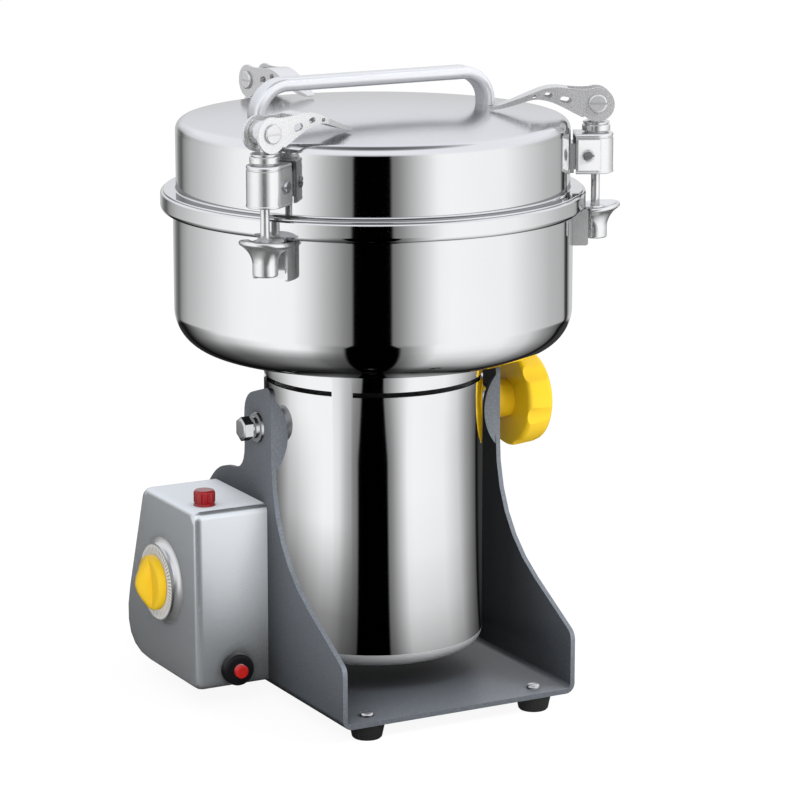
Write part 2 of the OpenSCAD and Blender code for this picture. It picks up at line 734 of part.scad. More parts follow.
module stator() {
  color("#7a5230") translate([0, 0, stator_z]) {
    ring(tube_in_r - run_gap * 2, stator_in_r, stator_h);
    translate([0, 0, -winding_h]) ring(tube_in_r * 0.88, stator_in_r + tube_t * 2, stator_h + 2 * winding_h);
  }
}

module shield(z) {
  translate([0, 0, z]) difference() {
    union() {
      cylinder(r = tube_in_r - run_gap * 2, h = shield_t);
      cylinder(r = bearing_r * 1.35, h = bearing_h + shield_t * 0.5);
    }
    translate([0, 0, shield_t * 0.5]) cylinder(r = bearing_r + seat_gap, h = bearing_h + over);
    translate([0, 0, -over]) cylinder(r = axle_r * 1.4, h = bearing_h + shield_t + over);
    for (i = [0 : 5]) rotate([0, 0, i * 60 + 30]) translate([tube_in_r * 0.62, 0, -over])
      cylinder(r = tube_in_r * 0.17, h = shield_t + 2 * over);
  }
}
module upper_shield() { color("darkgray") shield(top_shield_z); }
module lower_shield() { color("darkgray") shield(low_shield_z); }

module bearings() {
  color("silver") for (z = [low_shield_z, top_shield_z])
    translate([0, 0, z + shield_t * 0.5 + seat_gap]) ring(bearing_r, axle_r + run_gap, bearing_h - seat_gap * 2);
}

// Two carbon brushes in their holders, at the sides of the commutator
module brush_gear() {
  mid = comm_z + comm_h / 2;
  color("#b08d57") for (s = [0, 180]) rotate([0, 0, s]) {
    translate([comm_r + face_gap, -brush_w / 2, mid - brush_w / 2]) cube([tube_in_r * 0.36, brush_w, brush_w]);
    translate([comm_r * 1.6, -brush_w, mid - brush_w * 0.8]) difference() {
      cube([tube_in_r * 0.4, brush_w * 2, brush_w * 1.6]);
      translate([-over, brush_w / 2 - seat_gap, brush_w * 0.3 - seat_gap])
        cube([tube_in_r * 0.5 + over, brush_w + 2 * seat_gap, brush_w + 2 * seat_gap]);
    }
    translate([comm_r * 2.4, -brush_w * 0.4, low_shield_z + shield_t + seat_gap])
      cube([brush_w, brush_w * 0.8, mid - brush_w * 0.65 - low_shield_z - shield_t - seat_gap]);
  }
}

module shaft() {
  top = low_blade_z + blade_t * 2 + blade_gap + nut_h + shaft_end * 0.4;
  color("gainsboro") difference() {
    union() {
      translate([0, 0, low_shield_z - shaft_end]) cylinder(r = axle_r, h = top - low_shield_z + shaft_end);
      translate([0, 0, low_blade_z - seal_h * 0.8]) cylinder(r = axle_r * 1.5, h = seal_h * 0.8);
    }
    translate([0, 0, top - axle_r * 0.15]) ring(axle_r * 2, axle_r * 0.85, axle_r);
  }
}

module rotor_core() {
  color("#6f6f74") difference() {
    union() {
      translate([0, 0, stator_z]) ring(rotor_r, axle_r + seat_gap, stator_h);
      translate([0, 0, stator_z - winding_h * 0.8])
        ring(rotor_r * 0.8, axle_r + seat_gap, stator_h + winding_h * 1.8);
    }
    for (i = [0 : 11]) rotate([0, 0, i * 30]) translate([rotor_r, 0, stator_z - over])
      cylinder(r = rotor_r * 0.08, h = stator_h + 2 * over, $fn = 16);
  }
}

module commutator() {
  color("peru") translate([0, 0, comm_z]) difference() {
    ring(comm_r, axle_r + seat_gap, comm_h);
    for (i = [0 : 23]) rotate([0, 0, i * 15]) translate([comm_r * 0.85, -comm_r * 0.025, -over])
      cube([comm_r, comm_r * 0.05, comm_h + 2 * over]);
  }
}

module cooling_fan() {
  color("#2f2f33") translate([0, 0, fan_z]) difference() {
    union() {
      ring(fan_hub_r, axle_r + seat_gap, fan_h);
      ring(fan_r, axle_r + seat_gap, fan_blade_t);
      for (i = [0 : fan_blades - 1]) rotate([0, 0, i * 360 / fan_blades])
        translate([fan_hub_r - over, -fan_blade_t / 2, 0]) cube([fan_r - fan_hub_r, fan_blade_t, fan_h]);
    }
    translate([0, 0, -over]) cylinder(r = axle_r + seat_gap, h = fan_h + 2 * over);
  }
}

// Half of a blade, seen from the side: flat, then turned up or down towards its tip
module blade_half(rise) {
  bend = blade_l * 0.62;
  intersection() {
    translate([0, blade_w / 2, 0]) rotate([90, 0, 0]) linear_extrude(blade_w) polygon(sheet([
      [0, 0], [bend, 0], [blade_l, rise]
    ], blade_t));
    linear_extrude(4 * (abs(rise) + blade_t), center = true) polygon([
      [0, -blade_w / 2], [blade_hub_r * 1.4, -blade_w / 2], [blade_l * 0.96, -blade_w * 0.5],
      [blade_l, -blade_w * 0.25], [blade_l * 0.9, blade_w * 0.38], [blade_hub_r * 1.4, blade_w / 2], [0, blade_w / 2]
    ]);
  }
}

module blade(z, rise) {
  color("gainsboro") translate([0, 0, z]) difference() {
    for (s = [0, 180]) rotate([0, 0, s]) blade_half(rise);
    translate([0, 0, -over]) cylinder(r = axle_r + seat_gap, h = blade_t + 2 * over);
  }
}
module lower_blade() { blade(low_blade_z + seat_gap, -drum_t); }
module upper_blade() { rotate([0, 0, 90]) blade(low_blade_z + blade_t + blade_gap + seat_gap * 3, blade_tip_rise); }

module blade_spacer() {
  color("silver") translate([0, 0, low_blade_z + blade_t + seat_gap * 2]) ring(blade_hub_r, axle_r + seat_gap, blade_gap);
}

module blade_nut() {
  color("silver") translate([0, 0, low_blade_z + 2 * blade_t + blade_gap + seat_gap * 4]) difference() {
    union() {
      cylinder(r = blade_hub_r * 0.95, h = nut_h * 0.25);
      cylinder(r = nut_r, h = nut_h, $fn = 6);
    }
    translate([0, 0, -over]) cylinder(r = axle_r + seat_gap, h = nut_h + 2 * over);
  }
}

function lid_path() = concat(
  [[lid_r, rim_z - skirt_l]],
  arc([lid_r - shoulder_r, lid_z - shoulder_r], shoulder_r, 0, 86, 8),
  [for (k = [1 : 8]) let (r = (lid_r - shoulder_r) * (1 - k / 8)) [r, dome_z(r)]]
);

module lid_shell() {
  color("silver") difference() {
    union() {
      rotate_extrude($fn = 144) polygon(turned(sheet(lid_path(), drum_t)));
      translate([0, 0, gasket_top + 2 * seat_gap]) rotate_extrude($fn = 144) polygon([
        [lid_r - drum_t * 0.5, 0], [lid_r + bead_out * 0.75, 0], [lid_r + bead_out, bead_h * 0.3],
        [lid_r + bead_out, bead_h * 0.7], [lid_r + bead_out * 0.75, bead_h], [lid_r - drum_t * 0.5, bead_h]
      ]);
    }
    for (s = [-1, 1]) translate([s * (handle_l - bar_t / 2), 0, lid_z - shoulder_r])
      cylinder(r = handle_screw_r + run_gap, h = shoulder_r + dome_h * 2);
  }
}

handle_foot = dome_z(handle_l - bar_t) + seat_gap;
handle_top = lid_z + handle_h;

// Cross section of the handle bar: thickness along X, width along Y
module bar_section(slim = 0) {
  t = bar_t / 2 - slim;
  w = bar_w / 2 - slim;
  polygon(rounded([[-t, -w, bar_edge], [t, -w, bar_edge], [t, w, bar_edge], [-t, w, bar_edge]], 5));
}

module handle() {
  leg = handle_l - bar_t / 2;
  bend_z = handle_top - bar_t / 2 - handle_bend;
  color("gainsboro") difference() {
    union() {
      for (s = [-1, 1]) {
        translate([s * leg, 0, handle_foot]) linear_extrude(bend_z - handle_foot + over / 2) bar_section(seat_gap);
        translate([s * (leg - handle_bend), 0, bend_z]) rotate([90, 0, s > 0 ? 0 : 180])
          rotate_extrude(angle = 90) translate([handle_bend, 0]) bar_section();
      }
      translate([-leg + handle_bend - over / 2, 0, handle_top - bar_t / 2]) rotate([0, 90, 0])
        linear_extrude(2 * (leg - handle_bend) + over) bar_section(seat_gap);
    }
    for (s = [-1, 1]) translate([s * leg, 0, handle_foot - over])
      cylinder(r = handle_screw_r + run_gap, h = handle_screw_l + over);
  }
}

module handle_screws() {
  leg = handle_l - bar_t / 2;
  top = dome_z(handle_l) - drum_t - seat_gap * 4;
  color("silver") for (s = [-1, 1]) translate([s * leg, 0, 0]) {
    translate([0, 0, top - screw_head_h]) cylinder(r = handle_screw_r * 2, h = screw_head_h);
    translate([0, 0, top - screw_head_h / 2]) cylinder(r = handle_screw_r, h = handle_foot + handle_screw_l * 0.9 - top);
  }
}

// Bracket on the lid wall whose two ears carry a latch
module latch_mount() {
  low = swing_z - housing_h * 0.45;
  difference() {
    union() {
      translate([lid_r - over, -mount_w, low]) cube([ear_back + over, 2 * mount_w, housing_h * 0.74]);
      for (s = [-1, 1]) translate([0, s > 0 ? mount_w - ear_back : -mount_w, 0]) {
        translate([lid_r, 0, swing_z - mount_h * 0.85]) cube([swing_x - lid_r, ear_back, mount_h * 1.7]);
        along_y(swing_x, 0, swing_z, ear_r, ear_back);
      }
    }
    translate([0, 0, rim_z]) cylinder(r = lid_r + seat_gap, h = lid_h, $fn = 144);
    along_y(swing_x, -2 * mount_w, swing_z, screw_r + run_gap / 2, 4 * mount_w);
  }
}
module latch_mounts() { color("silver") for (a = LATCH_A) at_latch(a) latch_mount(); }

module swing_screws() {
  color("silver") for (a = LATCH_A, s = [0, 180]) at_latch(a)
    translate([swing_x, 0, swing_z]) rotate([0, 0, s]) {
      translate([0, housing_w + face_gap / 2, 0]) rotate([-90, 0, 0]) pan_head(screw_head_r * 0.9, screw_head_h * 0.8, screw_r * 0.5);
      along_y(0, mount_w - ear_back + face_gap, 0, screw_r, housing_w - mount_w + ear_back);
    }
}

// Sheet housing with a half round outer end, and the cage on its top that the cam bears on
module latch_housing() {
  in_x = rod_x - housing_in;
  wall = housing_w - plate_t;
  difference() {
    union() {
      translate([rod_x, 0, housing_z]) cylinder(r = housing_w, h = housing_h);
      translate([in_x, -housing_w + seat_gap, housing_z]) cube([housing_in, 2 * (housing_w - seat_gap), housing_h]);
      translate([rod_x - saddle_u, -saddle_v, housing_top - plate_t / 2])
        cube([2 * saddle_u, 2 * saddle_v, saddle_h + plate_t / 2]);
    }
    translate([rod_x, 0, housing_z - over]) cylinder(r = wall, h = housing_h - plate_t + over);
    translate([in_x - over, -wall + seat_gap, housing_z - over])
      cube([housing_in + over, 2 * (wall - seat_gap), housing_h - plate_t + over]);
    translate([rod_x, 0, housing_z]) cylinder(r = rod_r + run_gap, h = housing_h + saddle_h + over);
    for (s = [-1, 1]) translate([rod_x + s * (saddle_u - window_u / 2 - saddle_h * 0.18), 0, housing_top + saddle_h * 0.5])
      cube([window_u, 4 * saddle_v, saddle_h * 0.6], center = true);
    along_y(swing_x, -2 * housing_w, swing_z, screw_r + run_gap, 4 * housing_w);
  }
}

module latch_rod() {
  low = claw_z - claw_h;
  color("darkgray") {
    difference() {
      union() {
        translate([rod_x, 0, low + seat_gap]) cylinder(r = rod_r, h = pin_z - eye_r * 0.9 - low);
        along_y(rod_x, -eye_v, pin_z, eye_r, 2 * eye_v);
        translate([rod_x, 0, pin_z - eye_r * 1.15]) cylinder(r = eye_v * 0.8, h = eye_r);
      }
      along_y(rod_x, -2 * eye_v, pin_z, pin_r + seat_gap, 4 * eye_v);
    }
  }
}

module latch_pin() {
  color("silver") {
    along_y(rod_x, -lever_w - face_gap, pin_z, pin_r, 2 * (lever_w + face_gap));
    for (s = [0, 180]) translate([rod_x, 0, pin_z]) rotate([0, 0, s]) translate([0, lever_w + face_gap / 2, 0])
      rotate([-90, 0, 0]) pan_head(pin_head_r, pin_head_h, pin_r * 0.4);
  }
}

// Claw on the lower end of the tie rod: round body, wide tilted rim with an inner tongue, and a
// flared web across it
module latch_claw() {
  low = claw_z - claw_h;
  web_v = claw_rim_v * 0.97;
  color("gainsboro") difference() {
    union() {
      intersection() {
        translate([rod_x, 0, low]) cylinder(r = claw_r, h = claw_h + claw_rim_h * 0.3);
        translate([rod_x - claw_u_in, -2 * claw_r, low - over]) cube([4 * claw_r, 4 * claw_r, claw_h * 2]);
      }
      translate([rod_x, 0, claw_z]) rotate([0, -claw_tilt, 0]) {
        intersection() {
          difference() {
            cylinder(r1 = claw_rim_v * 0.94, r2 = claw_rim_v, h = claw_rim_h);
            translate([0, 0, claw_rim_h * 0.5]) cylinder(r1 = claw_rim_v * 0.6, r2 = claw_rim_v * 0.86, h = claw_rim_h * 0.6);
          }
          translate([-claw_rim_in, -claw_rim_v, 0]) cube([claw_rim_in + claw_rim_out, 2 * claw_rim_v, claw_rim_h]);
        }
        translate([-tongue_u, -tongue_v, 0]) cube([tongue_u - claw_rim_in + over, 2 * tongue_v, claw_rim_h * 0.9]);
      }
      translate([rod_x - tongue_u, -tongue_v, claw_z]) cube([tongue_pad, 2 * tongue_v, tongue_pad]);
      translate([rod_x, 0, 0]) rotate([90, 0, 90]) linear_extrude(catch_t) polygon(concat(
        [[-claw_r * 0.9, low], [claw_r * 0.9, low]],
        arc([claw_r + claw_h * 0.62, low + claw_h * 0.36], claw_h * 0.62, 180, 118, 8),
        [[web_v, claw_z + claw_rim_h * 0.3], [-web_v, claw_z + claw_rim_h * 0.3]],
        reverse([for (q = arc([claw_r + claw_h * 0.62, low + claw_h * 0.36], claw_h * 0.62, 180, 118, 8)) [-q.x, q.y]])
      ));
    }
    translate([rod_x, 0, low - over]) cylinder(r = rod_r + seat_gap, h = claw_h + 2 * claw_rim_h + over);
  }
}

module lever_side(drop) {
  l = lever_len;
  pts = [for (p = lever_shares) [rod_x + p.x * l, cam_z + p.y * l - drop]];
  translate([0, lever_w * 2, 0]) rotate([90, 0, 0]) linear_extrude(lever_w * 4) polygon(cut_corners(cut_corners(pts)));
}

module lever_plan(inset) {
  l = lever_len;
  half = [for (p = lever_plan_shares) [rod_x + p.x * l + inset * 0.6, max(min(p.y * l, lever_w) - inset, inset * 0.2)]];
  translate([0, 0, cam_z - l]) linear_extrude(2 * l)
    polygon(concat(half, [for (i = [len(half) - 1 : -1 : 0]) [half[i].x, -half[i].y]]));
}

// Pressed lever: two cheeks with a cam at one end, joined by a web that closes towards the tip
module latch_lever() {
  l = lever_len;
  web_x = rod_x - cam_r * 1.7;
  color("gainsboro") difference() {
    union() {
      intersection() {
        lever_side(0);
        lever_plan(0);
      }
      along_y(rod_x, -lever_w, cam_z, cam_r, 2 * lever_w);
    }
    translate([web_x, -lever_w + lever_t, cam_z - 2 * cam_r]) cube([cam_r * 4, 2 * (lever_w - lever_t), cam_r * 4]);
    intersection() {
      lever_side(lever_t);
      lever_plan(lever_t);
      translate([rod_x - l * 0.88, -lever_w, cam_z - l]) cube([l, 2 * lever_w, 2 * l]);
    }
    for (h = lever_hole_shares) translate([rod_x + h[0] * l, 0, cam_z + h[1] * l]) rotate([0, 12, 0]) {
      for (s = [-1, 1]) along_y(s * (h[2] - h[3]) * l / 2, -2 * lever_w, 0, h[3] * l / 2, 4 * lever_w);
      cube([(h[2] - h[3]) * l, 4 * lever_w, h[3] * l], center = true);
    }
    along_y(rod_x, -2 * lever_w, pin_z, pin_r + run_gap, 4 * lever_w);
  }
}

// Guide bracket on the bowl wall, with a cheek on each side of the claw
module catch() {
  top = flare_low().y - face_gap;
  difference() {
    union() {
      translate([bowl_r - over, -catch_v, top - catch_h]) cube([catch_t + over, 2 * catch_v, catch_h]);
      for (s = [-1, 1])
        translate([0, s > 0 ? catch_v : -catch_v + catch_t, 0]) rotate([90, 0, 0]) linear_extrude(catch_t) polygon(rounded([
          [bowl_r - over, top - catch_h, 0], [bowl_r + catch_out, top - catch_h, catch_t],
          [bowl_r + catch_out, top, catch_t], [bowl_r - over, top, 0]
        ], 4));
    }
    translate([0, 0, bowl_z]) cylinder(r = bowl_r + seat_gap, h = bowl_h, $fn = 144);
  }
}
module catches() { color("silver") for (a = LATCH_A) at_latch(a) catch(); }

module front_housing() { color("silver") at_latch(front_a) latch_housing(); }
module right_housing() { color("silver") at_latch(right_a) latch_housing(); }
module rear_housing() { color("silver") at_latch(rear_a) latch_housing(); }
module front_rod() { at_latch(front_a) swivel(lever_turn) latch_rod(); }
module right_rod() { at_latch(right_a) latch_rod(); }
module rear_rod() { at_latch(rear_a) latch_rod(); }
module front_pin() { at_latch(front_a) swivel(lever_turn) latch_pin(); }
module right_pin() { at_latch(right_a) latch_pin(); }
module rear_pin() { at_latch(rear_a) latch_pin(); }
module front_claw() { at_latch(front_a) latch_claw(); }
module right_claw() { at_latch(right_a) latch_claw(); }
module rear_claw() { at_latch(rear_a) latch_claw(); }
module front_lever() { at_latch(front_a) swivel(lever_turn) latch_lever(); }
module right_lever() { at_latch(right_a) latch_lever(); }
module rear_lever() { at_latch(rear_a) latch_lever(); }

stand_frame();
feet();
foot_screws();
pivot_fasteners();
control_box();
box_screws();
timer_bezel();
dial_plate();
timer_body();
lamp_lens();
lamp_body();
cutout_body();
cord_bush();
timer_knob();
timer_shaft();
reset_button();
lock_knob();
lock_stud();
bowl();
bowl_flange();
motor_tube();
tube_base();
stator();
bearings();
upper_shield();
lower_shield();
brush_gear();
rim_gasket();
shaft_seal();
flange_screws();
trunnions();
catches();
shaft();
rotor_core();
commutator();
cooling_fan();
lower_blade();
upper_blade();
blade_spacer();
blade_nut();
lid_shell();
handle();
handle_screws();
latch_mounts();
swing_screws();
front_housing();
front_rod();
front_pin();
front_claw();
front_lever();
right_housing();
right_rod();
right_pin();
right_claw();
right_lever();
rear_housing();
rear_rod();
rear_pin();
rear_claw();
rear_lever();
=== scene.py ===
import math

import bmesh
import bpy
from mathutils import Matrix, Vector


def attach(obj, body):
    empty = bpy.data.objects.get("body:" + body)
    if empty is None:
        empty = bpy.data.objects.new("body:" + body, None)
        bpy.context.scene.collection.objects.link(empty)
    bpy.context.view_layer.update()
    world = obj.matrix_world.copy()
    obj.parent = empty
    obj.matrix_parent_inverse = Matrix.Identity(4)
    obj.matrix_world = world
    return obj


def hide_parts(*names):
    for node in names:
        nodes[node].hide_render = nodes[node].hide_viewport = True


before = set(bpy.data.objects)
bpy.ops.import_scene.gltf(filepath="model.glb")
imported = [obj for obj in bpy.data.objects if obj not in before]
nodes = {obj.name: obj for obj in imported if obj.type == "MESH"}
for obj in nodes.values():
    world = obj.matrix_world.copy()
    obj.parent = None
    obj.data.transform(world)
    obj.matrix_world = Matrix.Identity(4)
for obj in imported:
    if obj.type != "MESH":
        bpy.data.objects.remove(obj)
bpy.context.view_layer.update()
MM = 0.001
MICRON = 0.000001

# Main measures of the machine in millimetres, with heights above the feet's soles
BOWL_Z = 214.03
RIM_Z = 310.03
LID_Z = 353.03
BOWL_R = 121.0
BOWL_CORNER = 24.5
BOWL_SAG = 0.3
RIM_R = 128.5
LID_R = 119.0
LID_ROUND = 6.5
SHEET = 1.2
TIMER_PLACE = (-132.95, 34.0, 71.9)
LAMP_PLACE = (-112.6, 5.0, 124.65)

# Lid clamps: compass direction of each, and their measures in a frame of out, along and up
LATCHES = {"front": -55.0, "right": 65.0, "rear": 185.0}
ROD_X = 135.0
HOUSING_R = 10.6
HOUSING_BACK = ROD_X - 13.0
HOUSING_Z = 318.53
HOUSING_TOP = HOUSING_Z + 24.4
CLAW_Z = 296.43
CLAW_NECK_R = 7.4
CLAW_WIDE_R = 15.6
CLAW_FLARE = {"front": 15.2, "right": 15.2, "rear": 14.1}
CLAW_LEAN = 6.5
CLAW_LEAN_REACH = 5.0
CLAW_CUT = 4.3

# The photograph's viewing angle
CAMERA_PLACE = (-0.94895, -1.79676, 0.64357)
CAMERA_TARGET = (0.0185, 0.0, 0.1762)
CAMERA_LENS = 153.0
CAMERA_SENSOR = 36.0


def aim(obj, place, target):
    """Adds a camera or lamp to the scene at a place, looking at the target."""
    obj.location = place
    obj.rotation_euler = (Vector(target) - Vector(place)).to_track_quat("-Z", "Y").to_euler()
    bpy.context.scene.collection.objects.link(obj)


def add_camera():
    data = bpy.data.cameras.new("camera")
    data.sensor_width = CAMERA_SENSOR
    data.lens = CAMERA_LENS
    cam = bpy.data.objects.new("camera", data)
    aim(cam, CAMERA_PLACE, CAMERA_TARGET)
    bpy.context.scene.camera = cam


class Nodes:
    """Short calls that add and link the nodes of one tree."""

    def __init__(self, tree):
        self.tree = tree

    def put(self, value, socket):
        """Links another node's output to a socket, or sets the socket to a value."""
        if isinstance(value, bpy.types.NodeSocket):
            self.tree.links.new(value, socket)
        else:
            socket.default_value = value

    def add(self, kind, sockets=None, **properties):
        """A new node with the given properties and input sockets."""
        node = self.tree.nodes.new(kind)
        for key, value in properties.items():
            setattr(node, key, value)
        for key, value in (sockets or {}).items():
            self.put(value, node.inputs[key])
        return node

    def math(self, operation, *values):
        return self.add("ShaderNodeMath", dict(enumerate(values)), operation=operation).outputs[0]

    def mix(self, factor, a, b):
        """Blend of two colours."""
        sockets = {"Factor": factor, "A": a, "B": b}
        return self.add("ShaderNodeMix", sockets, data_type="RGBA").outputs["Result"]

    def scale(self, color, factor):
        sockets = {0: color, "Scale": factor}
        return self.add("ShaderNodeVectorMath", sockets, operation="SCALE").outputs[0]

    def coord(self, space="Object"):
        return self.add("ShaderNodeTexCoord").outputs[space]

    def split(self, vector):
        """The outputs X, Y and Z of a vector."""
        return self.add("ShaderNodeSeparateXYZ", {0: vector}).outputs

    def ramp(self, source, stops):
        """Grey ramp through stops of position and brightness."""
        node = self.add("ShaderNodeValToRGB", {"Fac": source})
        elements = node.color_ramp.elements
        while len(elements) > 1:
            elements.remove(elements[-1])
        for i, (position, grey) in enumerate(stops):
            stop = elements[0] if i == 0 else elements.new(position)
            stop.position = position
            stop.color = (grey, grey, grey, 1.0)
        return node.outputs["Color"]


BLOTCH_SCALE = 40.0
COAT_ROUGH = 0.03
SMOOTHEST = 0.01
GRAIN_SHARE = [(0.48, 0.0), (0.62, 1.0)]
OPEN_RAYS = 8


def material(name, color, rough, spread, bump, bump_scale, blotch, metallic=0.0, coat=0.0,
             ior=1.5, stretch=(1, 1, 1), grain=None, painted_shade=None):
    """A surface whose colour, roughness and relief vary with the object's own coordinates.

    The relief bump is in micrometres and grain is a fine second colour. Painted shade darkens the
    colour by ambient occlusion where other surfaces stand close: its reach in metres, the low
    openness with the brightness there, and the openness from which the colour is full.
    """
    mat = bpy.data.materials.new(name)
    mat.use_nodes = True
    n = Nodes(mat.node_tree)
    coord = n.coord()
    mapping = n.add("ShaderNodeMapping", {"Vector": coord, "Scale": stretch})
    slow = n.add("ShaderNodeTexNoise", {"Vector": coord, "Scale": BLOTCH_SCALE, "Detail": 4.0})
    fine = n.add("ShaderNodeTexNoise", {"Vector": mapping.outputs["Vector"], "Scale": bump_scale,
                                        "Detail": 3.0}).outputs["Fac"]
    darker = tuple(c * (1.0 - blotch) for c in color)
    tone = n.mix(slow.outputs["Fac"], (*color, 1.0), (*darker, 1.0))
    if grain:
        tone = n.mix(n.ramp(fine, GRAIN_SHARE), tone, (*grain, 1.0))
    if painted_shade:
        reach, low, dark, high = painted_shade
        # Ambient occlusion darkens the base colour: painted shade where other surfaces stand close
        near = n.add("ShaderNodeAmbientOcclusion", {"Distance": reach}, samples=OPEN_RAYS)
        tone = n.scale(tone, n.ramp(near.outputs["AO"], [(low, dark), (high, 1.0)]))
    relief = n.add("ShaderNodeBump", {"Strength": 1.0, "Distance": bump * MICRON, "Height": fine})
    smooth = max(rough - spread, SMOOTHEST)
    sockets = {
        "Base Color": tone,
        "Metallic": metallic,
        "Roughness": n.math("MULTIPLY_ADD", fine, rough + spread - smooth, smooth),
        "IOR": ior,
        "Coat Weight": coat,
        "Coat Roughness": COAT_ROUGH,
        "Normal": relief.outputs["Normal"],
    }
    bsdf = mat.node_tree.nodes["Principled BSDF"]
    for key, value in sockets.items():
        n.put(value, bsdf.inputs[key])
    return mat


# Each row: name, colour, roughness and its spread, relief and its scale, blotches, options
M = {
    "steel": material("mirror_steel", (0.93, 0.935, 0.945), 0.055, 0.012, 1.2, 140.0, 0.03,
                      metallic=1.0, stretch=(0.4, 0.4, 14.0)),
    "lid_top": material("lid_steel", (0.88, 0.885, 0.915), 0.16, 0.02, 1.2, 140.0, 0.03,
                        metallic=1.0),
    "satin": material("satin_bar", (0.93, 0.945, 0.98), 0.24, 0.05, 3, 500.0, 0.05, metallic=0.7),
    "latch": material("latch_steel", (0.94, 0.945, 0.955), 0.15, 0.06, 4, 700.0, 0.08,
                      metallic=0.85),
    "lever": material("cast_lever", (0.88, 0.88, 0.895), 0.27, 0.05, 10, 420.0, 0.06,
                      metallic=0.72),
    "pin": material("pin_steel", (0.92, 0.92, 0.93), 0.34, 0.07, 4, 700.0, 0.06, metallic=0.8),
    "zinc": material("zinc_plate", (0.80, 0.81, 0.83), 0.24, 0.08, 4, 900.0, 0.12, metallic=1.0),
    "blade": material("ground_steel", (0.74, 0.75, 0.77), 0.26, 0.1, 6, 300.0, 0.1,
                      metallic=1.0, stretch=(1, 18, 1)),
    "cast": material("cast_aluminium", (0.58, 0.59, 0.60), 0.45, 0.1, 30, 500.0, 0.15,
                     metallic=1.0),
    # Painted shade darkens the stand's paint between the plates and round the motor tube
    "paint": material("hammered_paint", (0.196, 0.218, 0.248), 0.42, 0.08, 40, 800.0, 0.1,
                      metallic=0.2, grain=(0.228, 0.252, 0.285), painted_shade=(0.14, 0.3, 0.12, 0.76)),
    # Painted shade darkens the box's paint where the stand's plate stands close
    "box": material("silver_paint", (0.91, 0.955, 1.0), 0.26, 0.03, 2, 1500.0, 0.03,
                    metallic=0.84, grain=(0.93, 0.97, 1.0), painted_shade=(0.035, 0.45, 0.45, 0.9)),
    "cap": material("brushed_cap", (0.86, 0.87, 0.89), 0.36, 0.06, 4, 700.0, 0.05, metallic=0.6),
    "cheek": material("pale_steel", (0.90, 0.90, 0.91), 0.42, 0.06, 4, 700.0, 0.04,
                      metallic=0.25),
    "rubber": material("black_rubber", (0.018, 0.018, 0.019), 0.6, 0.1, 30, 900.0, 0.2),
    "black": material("black_plastic", (0.008, 0.008, 0.010), 0.36, 0.06, 10, 900.0, 0.1,
                      ior=1.3),
    "inner": material("dark_plastic", (0.06, 0.06, 0.065), 0.5, 0.1, 20, 800.0, 0.1),
    "yellow": material("yellow_plastic", (0.97, 0.62, 0.012), 0.3, 0.06, 10, 700.0, 0.05,
                       ior=1.46),
    "red": material("red_plastic", (0.62, 0.015, 0.012), 0.25, 0.05, 6, 900.0, 0.1),
    "lamp": material("lamp_glass", (0.40, 0.003, 0.008), 0.2, 0.03, 30, 260.0, 0.35, coat=0.3),
    "dial": material("dial_enamel", (0.86, 0.87, 0.87), 0.35, 0.05, 5, 900.0, 0.03),
    "bezel": material("satin_metal", (0.86, 0.865, 0.87), 0.3, 0.06, 5, 900.0, 0.05,
                      metallic=0.9),
    "silicone": material("silicone", (0.82, 0.82, 0.80), 0.5, 0.08, 10, 600.0, 0.05),
    "lamination": material("lamination", (0.20, 0.17, 0.15), 0.5, 0.1, 100, 120.0, 0.2,
                           metallic=0.4, stretch=(0.1, 0.1, 30.0)),
    "copper": material("copper", (0.75, 0.42, 0.25), 0.3, 0.08, 10, 600.0, 0.15, metallic=1.0),
}

# Division marks of the dial: their number, the radius of their ring in metres and their colour
DIAL_MARKS = 60
DIAL_RING = 0.0203
DIAL_INK = (0.12, 0.12, 0.13, 1.0)
MARK_WIDTH = [(0.32, 0.0), (0.4, 1.0)]
MARK_LENGTH = [(0.0009, 1.0), (0.0011, 0.0)]


def add_dial_marks(mat):
    """Fine division marks in a ring round the timer's centre."""
    n = Nodes(mat.node_tree)
    base = mat.node_tree.nodes["Principled BSDF"].inputs["Base Color"]
    plain = base.links[0].from_socket
    place = n.split(n.coord())
    along = n.math("SUBTRACT", place["Y"], TIMER_PLACE[1] * MM)
    up = n.math("SUBTRACT", place["Z"], TIMER_PLACE[2] * MM)
    square = n.math("ADD", n.math("MULTIPLY", along, along), n.math("MULTIPLY", up, up))
    off_ring = n.math("ABSOLUTE", n.math("SUBTRACT", n.math("SQRT", square), DIAL_RING))
    turns = n.math("MULTIPLY", n.math("ARCTAN2", up, along), DIAL_MARKS / (2 * math.pi))
    share = n.math("FRACT", n.math("ADD", turns, float(DIAL_MARKS)))
    off_mark = n.math("ABSOLUTE", n.math("SUBTRACT", share, 0.5))
    mark = n.math("MULTIPLY", n.ramp(off_mark, MARK_WIDTH), n.ramp(off_ring, MARK_LENGTH))
    n.put(n.mix(mark, plain, DIAL_INK), base)


add_dial_marks(M["dial"])

